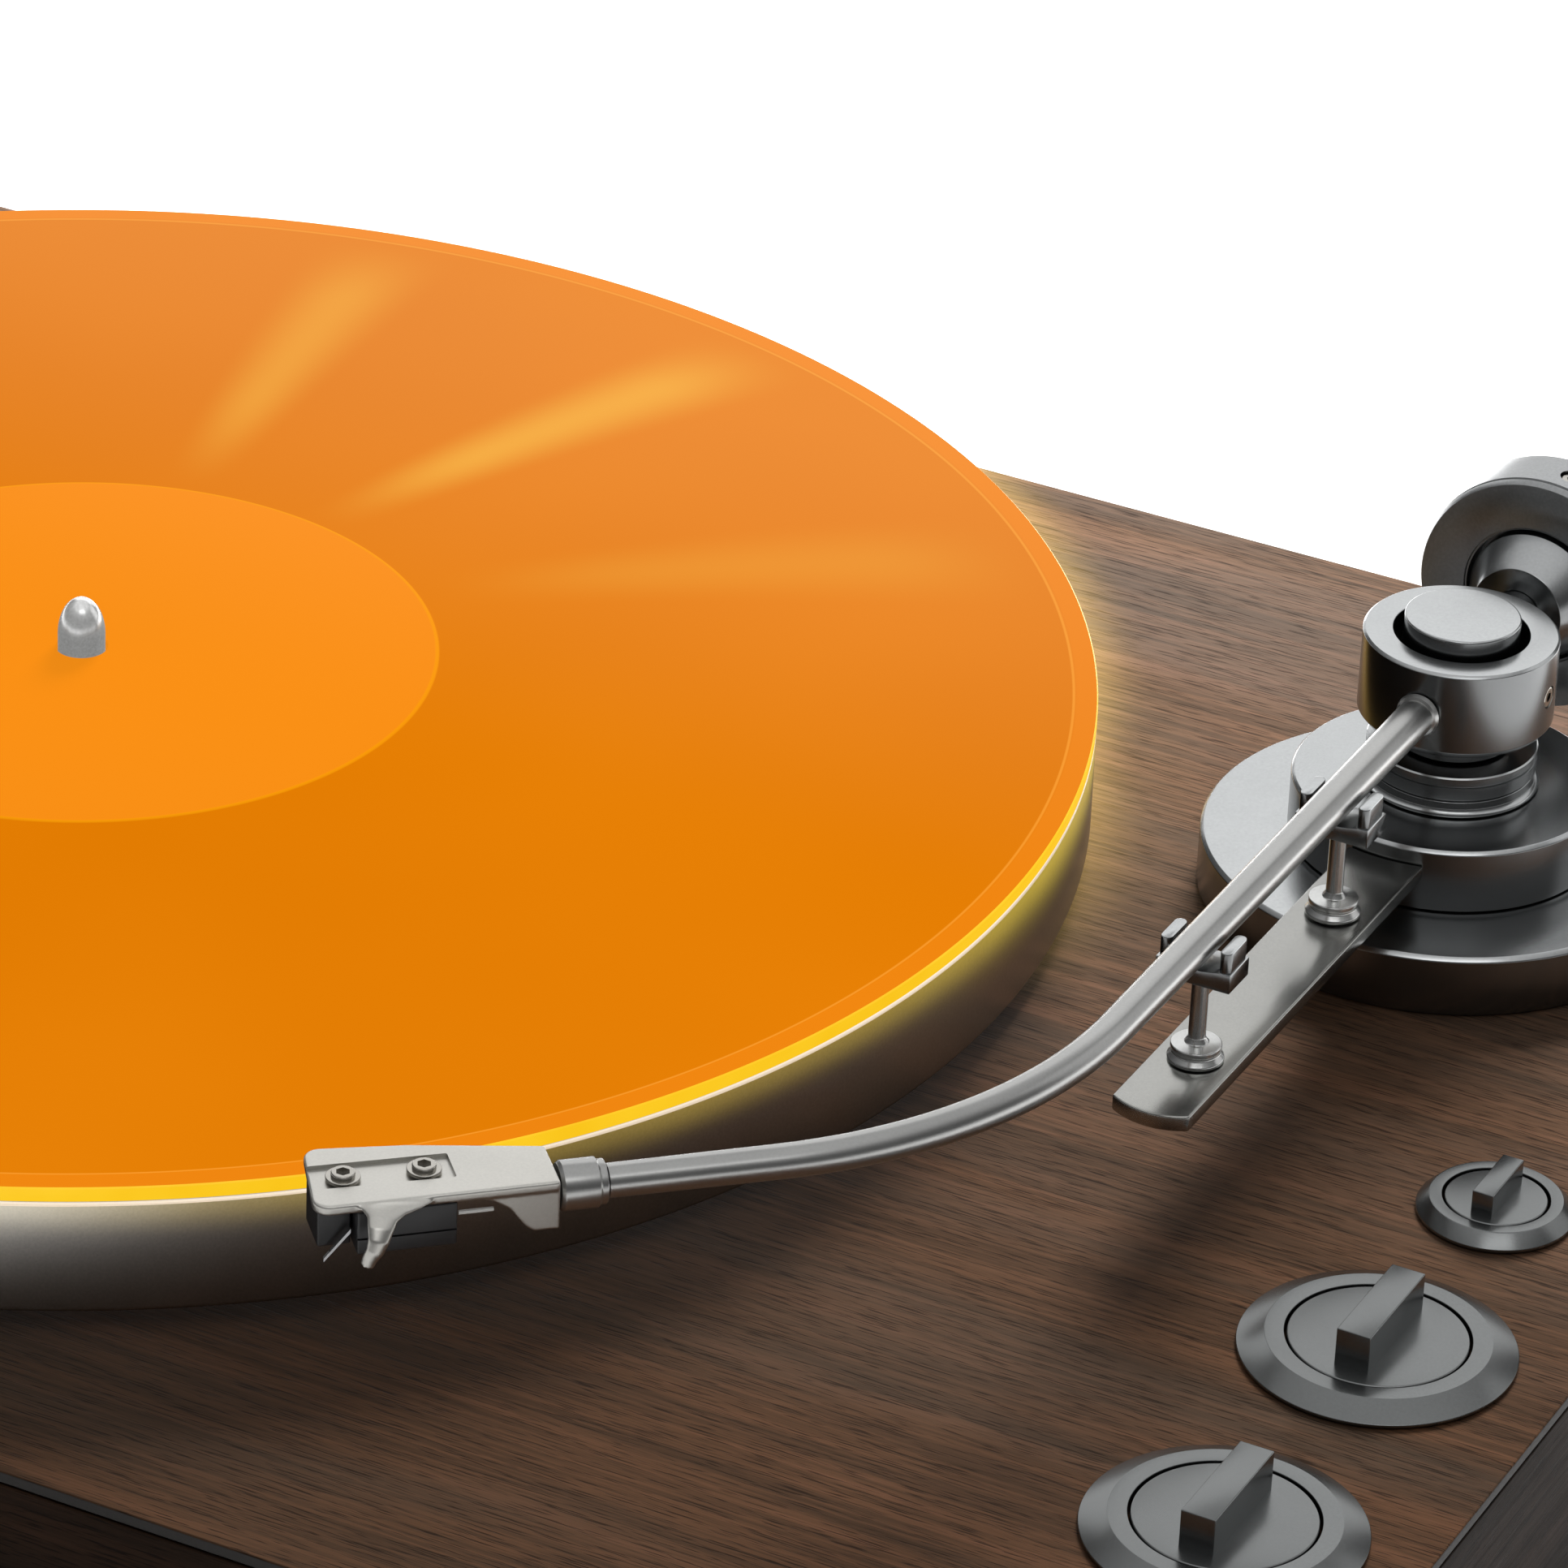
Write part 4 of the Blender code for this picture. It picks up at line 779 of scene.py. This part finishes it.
def socket_screw(node, seat, out, radius, depth, body):
    """A small flush screw with a hexagonal socket."""
    blank = turned_mesh(rounded([(0, 0, 0), (radius, 0, 0.0002), (radius, -depth, 0), (0, -depth, 0)]),
                        48, seat, out)
    socket = turned_mesh([(0, 0.001), (radius * 0.5, 0.001), (radius * 0.5, -depth * 0.6),
                          (0, -depth * 0.6)], 6, seat, out)
    finish_piece(f"{node}_fine", cut(blank, socket), body, "screw", (node,))


def make_pivot():
    """The yoke's round cap stands inside the housing, which is a thick ring."""
    _, bottom, top = span("pivot_yoke")
    radius, shoulder, shaft = 0.00846, RECORD_TOP + 0.0038, 0.004
    turned("pivot_yoke", [
        (0, top, 0), (radius, top, 0.00035), (radius, shoulder, 0), (shaft, shoulder, 0),
        (shaft, bottom, 0), (0, bottom, 0),
    ], "satin_mid", "yoke", AT_PIVOT, steps=128)

    half, bore = 0.007, 0.0099
    profile = rounded([
        (bore, half, 0.0002), (HOUSING - 0.0004, half, 0.0002), (HOUSING, half - 0.0004, 0.0002),
        (HOUSING, -half + 0.0014, 0.0003), (HOUSING - 0.0008, -half + 0.0004, 0.0003),
        (HOUSING - 0.0016, -half, 0.0002), (bore, -half, 0),
    ])
    housing = turned_mesh(profile, 160, arm_point(0))
    bores = [cylinder_mesh(0.0017, -0.004, 0.004, arm_point(0) + Vector((side * HOUSING, 0, 0)),
                           (side, 0, 0), 40) for side in (-1, 1)]
    finish_piece("pivot_housing_fine", cut(housing, *bores), "tonearm", "satin_mid",
                 ("pivot_housing",))
    for side, sign in (("left", -1), ("right", 1)):
        seat = arm_point(0) + Vector((sign * (HOUSING - 0.0001), 0, 0))
        socket_screw(f"pivot_screw_{side}", seat, (sign, 0, 0), 0.00155, 0.0045, "tonearm")


def make_tube():
    """Two straight runs and one bend, with a small collar at the housing."""
    tangent = BEND_RADIUS * math.tan(BEND_ANGLE / 2)
    begin = HOUSING + EDGE
    straight = BEND_CORNER - tangent
    run_out = CORNER_TO_COLLAR - tangent
    total = straight - begin + BEND_RADIUS * BEND_ANGLE + run_out

    def station(travelled):
        """Place and heading at a distance along the tube."""
        first = straight - begin
        bend = BEND_RADIUS * BEND_ANGLE
        if travelled <= first:
            return arm_point(begin + travelled), 0.0
        middle = arm_point(straight) - Vector((BEND_RADIUS, 0, 0))
        turn = min((travelled - first) / BEND_RADIUS, BEND_ANGLE)
        place = middle + BEND_RADIUS * Vector((math.cos(turn), -math.sin(turn), 0))
        return place + HEADING * max(travelled - first - bend, 0.0), turn

    stations = []
    collar = {0: 0.00035, 0.0002: 0.00055, 0.0009: 0.00035}  # how far it stands out at the housing
    past, steps = 0.00115, 90
    stops = [*collar, 0.0011, *(past + (total - past) * i / steps for i in range(steps + 1))]
    for travelled in stops:
        place, turn = station(travelled)
        radius = TUBE_REAR + (TUBE_FRONT - TUBE_REAR) * travelled / total + collar.get(travelled, 0)
        across = Vector((math.cos(turn), -math.sin(turn), 0))
        stations.append((place, across, UP, radius, radius))
    finish_piece("arm_tube_fine", swept_mesh(stations, 48), "tonearm", "satin_tube",
                 ("arm_tube",), 40)

    length = 0.0066
    turned("headshell_collar", [
        (0, length, 0), (0.0030, length, 0.0002), (0.00335, length - 0.0005, 0.0001),
        (0.00335, 0.0015, 0.0001), (0.0030, 0.0012, 0.0001), (0.0030, EDGE, 0.0002), (0, EDGE, 0),
    ], "satin_tube", "tonearm", TUBE_END, HEADING, 64)


HEAD = Matrix.Translation(TUBE_END) @ Matrix((HEADING, UP.cross(HEADING), UP)).transposed().to_4x4()
HEAD_TOP, PLATE, RECESS = 0.0035, 0.0014, 0.0005
HEAD_REAR, HEAD_FRONT = 0.0072, 0.0396


def head_neck():
    """The deep rear end, whose underside sweeps up to the plate."""
    low, deep = HEAD_TOP - PLATE, HEAD_TOP - 0.0072
    start, run, steps = HEAD_REAR + 0.0032, 0.0100, 18
    curve = []
    for i in range(steps + 1):
        t = i / steps
        climb = (1 - (1 - t) ** 2.2) * min(1, 3.2 * t) ** 0.7
        curve.append((start + run * t, deep + (low - deep + 0.0003) * climb))
    side = [(HEAD_REAR, deep), *curve, (start + run, low + 0.0005), (HEAD_REAR, low + 0.0005)]
    upright = HEAD @ Matrix.Rotation(math.radians(90), 4, "X")
    return bevelled(prism_mesh(side, -0.0043, 0.0043, upright), 0.0003, 3, 50)


FINGER_ROUTE = (  # along the headshell, out from it, height, half width, half thickness
    (0.0304, 0.0026, 0.0028, 0.0078, 0.0006), (0.0304, 0.0040, 0.0028, 0.0072, 0.0006),
    (0.0305, 0.0050, 0.0028, 0.0046, 0.0006), (0.0308, 0.0059, 0.0027, 0.0028, 0.0006),
    (0.0312, 0.0070, 0.0024, 0.0020, 0.0007), (0.0317, 0.0082, 0.0016, 0.0017, 0.0008),
    (0.0321, 0.0090, 0.0004, 0.0014, 0.0009), (0.0326, 0.0092, -0.0009, 0.0012, 0.0009),
    (0.0332, 0.0090, -0.0020, 0.0010, 0.0009), (0.0335, 0.0089, -0.0030, 0.0009, 0.0009),
)


def finger_lift():
    """A tongue that leaves the plate's side, narrows and hooks down."""
    stations = []
    turn = HEAD.to_3x3()
    for i, (x, y, z, wide, thick) in enumerate(FINGER_ROUTE):
        before, after = FINGER_ROUTE[max(i - 1, 0)], FINGER_ROUTE[min(i + 1, len(FINGER_ROUTE) - 1)]
        heading = (Vector(after[:3]) - Vector(before[:3])).normalized()
        across = (Vector((1, 0, 0)) - heading * heading.x).normalized()
        third = heading.cross(across)
        stations.append((HEAD @ Vector((x, y, z)), turn @ across, turn @ third, wide, thick))
    return swept_mesh(stations, 24)


def make_headshell():
    """The plate, its deep neck and the finger lift are melted together; then the recess is cut."""
    outline = rounded([
        (HEAD_REAR, -0.0046, 0.0004), (0.0247, -0.0084, 0.006), (0.0380, -0.0100, 0.0022),
        (HEAD_FRONT, 0.0046, 0.0022), (HEAD_REAR, 0.0046, 0.0004),
    ], 8)
    plate = bevelled(prism_mesh(outline, HEAD_TOP - PLATE, HEAD_TOP, HEAD), 0.00028, 3)
    whole = united(plate, head_neck(), finger_lift())
    whole = worked(whole, ("REMESH", {"mode": "VOXEL", "voxel_size": 0.00016}),
                   ("SMOOTH", {"factor": 0.5, "iterations": 6}))
    floor = HEAD_TOP - RECESS
    recess = prism_mesh(rounded([
        (0.0200, -0.0052, 0.0003), (0.0385, -0.0056, 0.0003), (0.0385, 0.0001, 0.0003),
        (0.0200, 0.0006, 0.0003)], 3), floor, HEAD_TOP + 0.001, HEAD)
    finish_piece("headshell_fine", cut(whole, recess), "tonearm", "satin_head",
                 ("headshell",), 40)


def make_head_screws():
    """Each has a washer under a round head with a hexagonal socket."""
    low = HEAD_TOP - RECESS
    washer, top = low + 0.0007, low + 0.0013
    for end, along, line in (("front", 0.0343, -0.0023), ("rear", 0.0237, -0.0021)):
        seat = HEAD @ Vector((along, line, 0))
        head = turned_mesh(rounded([
            (0, top, 0), (0.0016, top, 0.0002), (0.0016, washer, 0), (0.0023, washer, 0.0001),
            (0.0023, low + EDGE, 0), (0, low + EDGE, 0),
        ]), 64, seat)
        socket = turned_mesh([(0, top + 0.0017), (0.0010, top + 0.0017), (0.0010, low + 0.0006),
                              (0, low + 0.0006)], 6, seat)
        name = f"cartridge_screw_{end}"
        finish_piece(f"{name}_fine", cut(head, socket), "tonearm", "screw", (name,))


def make_cartridge():
    high = HEAD_TOP - PLATE - EDGE
    low = high - 0.0064
    body = bevelled(box_mesh((0.0206, -0.0076, low), (0.0337, 0.0040, high), HEAD), 0.0003)
    groove = box_mesh((0.0200, 0.0037, low + 0.0022), (0.0340, 0.0045, low + 0.0025), HEAD)
    finish_piece("cartridge_fine", cut(body, groove), "tonearm", "black_plastic",
                 ("cartridge",))
    holder = bevelled(box_mesh((0.0340, -0.0055, low + 0.0002), (0.0384, 0.0014, high), HEAD), 0.0003)
    finish_piece("stylus_holder_fine", holder, "tonearm", "black_plastic",
                 ("stylus_holder",))


def make_counterweight():
    """A drum with a turned groove, a recess in its face and a cone that stands in the recess."""
    place = arm_point(-0.0278)
    along = Vector((0, 1, 0))
    rim, length, floor, recess, bore = 0.0183, 0.012, 0.0038, 0.0106, 0.0035
    profile = rounded([
        (bore, length, 0), (rim - 0.002, length, 0.0008), (rim, length - 0.002, 0.0008),
        (rim, 0.0016, 0), (rim - 0.0003, 0.0014, 0), (rim - 0.0003, 0.0011, 0), (rim, 0.0010, 0.0001),
        (rim - 0.0005, 0, 0.0001), (recess + 0.0004, 0, 0.0001), (recess + 0.0003, 0.0003, 0),
        (recess + 0.0001, 0.0003, 0), (recess, 0, 0.0001), (recess - 0.0001, floor, 0), (bore, floor, 0),
    ])
    weight = turned_mesh(profile, 192, place, along)
    lean = math.radians(8)
    out = Vector((math.sin(lean), 0, math.cos(lean)))
    seat_at = place + Vector((0, 0.0052, 0)) + out * rim
    weight = cut(weight, cylinder_mesh(0.0018, -0.004, 0.002, seat_at, out, 40))
    finish_piece("counterweight_fine", weight, "weight", "turned", ("counterweight",))
    socket_screw("counterweight_screw", seat_at - out * 0.0004, out, 0.0015, 0.0032, "weight")
    wide, tip = 0.0100, -0.0059
    turned("counterweight_hub", [
        (bore, floor - EDGE, 0), (wide, floor - EDGE, 0), (wide, -0.0003, 0.0003),
        (0.0076, -0.0046, 0.0002), (0.00690, tip, 0.0002), (bore, tip, 0),
    ], "satin_mid", "weight", place, along, 128)
    start, end, shaft, shoulder = HOUSING + EDGE, 0.0458, 0.0034, 0.0046
    turned("counterweight_shaft", [
        (0, end, 0), (shaft, end, 0.0005), (shaft, 0.0168, 0), (shoulder, 0.0161, 0.0002),
        (shoulder, start, 0.0002), (0, start, 0),
    ], "satin_mid", "tonearm", arm_point(0), along, 64)


# ---------------------------------------------------------------- arm rest

POST_FOOT = (  # radius, height and corner of the two-step foot of a post
    (0.00125, 0.0034, 0.0004), (0.0017, 0.0026, 0.0003), (0.0036, 0.0024, 0.0002),
    (0.0036, 0.0017, 0.0003), (0.0033, 0.0012, 0.0004), (0.0040, 0.0004, 0.0003),
    (0.0040, 0, 0), (0, 0, 0),
)


def make_rest():
    """A flat bar off the arm base, which carries two posts with a cradle each."""
    low, high = corners("rest_bar")
    half, bulge, saddle = (high.x - low.x) / 2, 0.0018, 0.0233
    spread = math.asin(half / saddle)
    end_radius = (half * half + bulge * bulge) / (2 * bulge)
    end_spread = math.asin(half / end_radius)
    near_end = low.y - PIVOT.y
    outline = arc((0, 0), saddle, -math.pi / 2 + spread, -math.pi / 2 - spread, 16)
    outline += arc((0, near_end + end_radius), end_radius, -math.pi / 2 - end_spread,
                   -math.pi / 2 + end_spread, 24)
    bar = bevelled(prism_mesh(outline, low.z, high.z, Matrix.Translation(AT_PIVOT)), 0.0003, 3, 50)
    finish_piece("rest_bar_fine", bar, "base", "satin_bar", ("rest_bar",))

    for end in ("front", "rear"):
        place = centre(f"rest_post_{end}")
        _, foot, top = span(f"rest_post_{end}")
        post = [(0, top - foot, 0), (0.0012, top - foot, 0), *POST_FOOT]
        turned(f"rest_post_{end}", [(radius, foot + height, corner) for radius, height, corner in post],
               "satin", "base", (place.x, place.y, 0), steps=64)
        make_cradle(end)


def make_cradle(end):
    """A block with a hollowed floor between two prongs with round ends."""
    node = f"rest_cradle_{end}"
    low, high = corners(node)
    place = Matrix.Translation(((low.x + high.x) / 2, (low.y + high.y) / 2, 0))
    outside, half_length = (high.x - low.x) / 2, (high.y - low.y) / 2
    floor, sag, thickness, ledge = ARM_Z - 0.0031, 0.0005, 0.0018, 0.0002
    middle = outside - ledge - thickness / 2
    inner = middle - thickness / 2
    saddle = (inner * inner + sag * sag) / (2 * sag)
    spread = math.asin(inner / saddle)
    outline = [(-outside, low.z), (outside, low.z), (outside, floor)]
    outline += arc((0, floor - sag + saddle), saddle, -math.pi / 2 + spread, -math.pi / 2 - spread, 10)
    outline += [(-outside, floor)]
    upright = place @ Matrix.Rotation(math.radians(90), 4, "X")
    mesh = bevelled(prism_mesh(outline, -half_length, half_length, upright), 0.00015, 2, 50)
    round_end = thickness / 2
    straight = half_length - ledge - round_end
    for x in (-middle, middle):
        stadium = arc((x, straight), round_end, 0, math.pi, 12)
        stadium += arc((x, -straight), round_end, math.pi, math.tau, 12)
        mesh = united(mesh, bevelled(prism_mesh(stadium, floor - 0.001, high.z, place), 0.0002, 2, 50))
    finish_piece(f"{node}_fine", mesh, "base", "satin_mid", (node,))


# ---------------------------------------------------------------- controls


CONTROLS = (  # name, radius of the bezel's flat, width and length of the bar handle
    ("front", 0.0153, 0.0049, 0.0184),
    ("middle", 0.0153, 0.0049, 0.0184),
    ("rear", 0.00925, 0.0031, 0.0110),
)


def make_controls():
    """A fixed, bevelled bezel about a turning dial with a bar handle."""
    for name, flat, width, length in CONTROLS:
        place = centre(f"bezel_{name}")
        foot, low, high = span(f"bezel_{name}")
        dial, _, handle_top = span(f"knob_{name}")
        dial_top, hole = high - 0.0001, dial + 0.00035
        turned(f"bezel_{name}", [
            (hole, high, 0.0001), (flat, high, 0.0003), (foot, low + 0.0004, 0.0002), (foot, low, 0),
            (hole, low, 0),
        ], "satin_dark", "base", (place.x, place.y, 0), steps=160)
        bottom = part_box(f"knob_{name}")[0][2]
        knob = turned_mesh(rounded([
            (0, dial_top, 0), (dial, dial_top, 0.00025), (dial, low + EDGE, 0), (0.003, low + EDGE, 0),
            (0.003, bottom, 0), (0, bottom, 0),
        ]), 128, (place.x, place.y, 0))
        handle = bevelled(box_mesh(
            (place.x - width / 2, place.y - length / 2, dial_top - 0.001),
            (place.x + width / 2, place.y + length / 2, handle_top)), 0.00018)
        finish_piece(f"knob_{name}_fine", united(knob, handle), f"control_{name}", "satin_dark",
                     (f"knob_{name}",))


make_record()
make_platter()
make_spindle()
make_plinth()
make_arm_base()
make_column()
make_pivot()
make_tube()
make_headshell()
make_head_screws()
make_cartridge()
make_counterweight()
make_rest()
make_controls()

# ---------------------------------------------------------------- finishes of the carried-over nodes

CARRIED = {
    "walnut_front": ["rear_board"],
    "board": ["base_plate"],
    "rubber": ["foot_front_left", "foot_front_right", "foot_rear_left", "foot_rear_right", "drive_belt"],
    "brass": ["platter_bearing", "motor_pulley", "jack_left", "jack_right", "ground_post"],
    "chrome": ["thrust_ball", "stylus"],
    "black_plastic": ["sub_platter", "switch_front", "switch_middle", "switch_rear", "jack_plate",
                      "power_inlet"],
    "satin_dark": ["motor", "arm_locknut"],
    "circuit": ["control_board"],
    "white_lead": ["signal_lead"],
}


def dress_carried_nodes():
    found = {obj.name: obj for obj in bpy.data.objects if obj.type == "MESH"}
    for finish, nodes in CARRIED.items():
        for node in nodes:
            for slot in found[node].material_slots:
                slot.material = FINISHES[finish]


dress_carried_nodes()

# ---------------------------------------------------------------- studio


def make_floor():
    size = 30
    mesh = bpy.data.meshes.new("floor")
    mesh.from_pydata([(-size, -size, 0), (size, -size, 0), (size, size, 0), (-size, size, 0)], [],
                     [(0, 1, 2, 3)])
    floor = add_object("floor", mesh)
    floor.location.z = -0.0005
    s = Shader("floor_paper", Roughness=0.9, Specular_IOR_Level=0.1)
    s.link(s.ramp(s.noise(s.place(), 3, 2, 0.5), (0.3, 0.87), (0.7, 0.90)), "Base Color")
    mesh.materials.append(s.material)


def make_world():
    """Dim all round, a little brighter overhead."""
    world = bpy.data.worlds.new("studio")
    world.use_nodes = True
    bpy.context.scene.world = world
    tree = world.node_tree
    background = tree.nodes["Background"]
    coordinates = tree.nodes.new("ShaderNodeTexCoord")
    parts = tree.nodes.new("ShaderNodeSeparateXYZ")
    ramp = tree.nodes.new("ShaderNodeValToRGB")
    tree.links.new(coordinates.outputs["Generated"], parts.inputs[0])
    tree.links.new(parts.outputs[2], ramp.inputs[0])
    tree.links.new(ramp.outputs[0], background.inputs[0])
    fill_ramp(ramp, ((0.0, 0.06), (0.30, 0.08), (0.60, 0.20), (0.80, 0.55), (1.0, 0.65)))
    background.inputs[1].default_value = 1.0


def aim(lamp, place, target):
    lamp.location = place
    lamp.rotation_mode = "QUATERNION"
    lamp.rotation_quaternion = (Vector(target) - Vector(place)).to_track_quat("-Z", "Y")
    lamp.visible_camera = False
    return lamp


def add_area(name, place, target, size, radiance):
    """A rectangular lamp of the given radiance."""
    data = bpy.data.lights.new(name, "AREA")
    data.shape, data.size, data.size_y = "RECTANGLE", size[0], size[1]
    data.energy = radiance * math.pi * size[0] * size[1]
    return aim(add_object(name, data), place, target)


def add_spot(name, place, target, angle, power):
    data = bpy.data.lights.new(name, "SPOT")
    data.energy, data.spot_size, data.spot_blend = power, math.radians(angle), 0.5
    data.shadow_soft_size = 0.1
    return aim(add_object(name, data), place, target)


make_floor()
make_world()
# The key stands behind, a little to the left: it throws the shadows forward. The metals don't
# mirror it, so that their shine comes from the panels alone.
key = add_area("key", (-0.20, 1.20, 0.92), (0.02, 0.0, 0.06), (0.55, 0.55), 58)
key.visible_glossy = False
# Panels behind, seen as the shine on upward faces and along the tube.
add_area("back_panel", (-0.25, 0.80, 0.50), (0.10, 0.0, 0.08), (1.3, 0.80), 0.90)
add_area("right_panel", (0.85, 0.75, 0.50), (0.14, 0.0, 0.10), (0.7, 0.80), 0.55)
# A soft front light models the headshell and the fronts of the knobs.
add_area("front_panel", (0.7, -0.9, 1.5), (0.1, 0.0, 0.08), (1.1, 0.4), 1.4)
add_spot("backdrop_left", (-0.55, 1.05, 2.4), (-0.45, 0.95, 0.0), 34, 120)
add_spot("backdrop_right", (0.30, 1.05, 2.4), (0.25, 0.90, 0.0), 34, 120)
bpy.context.scene.view_settings.view_transform = "Standard"
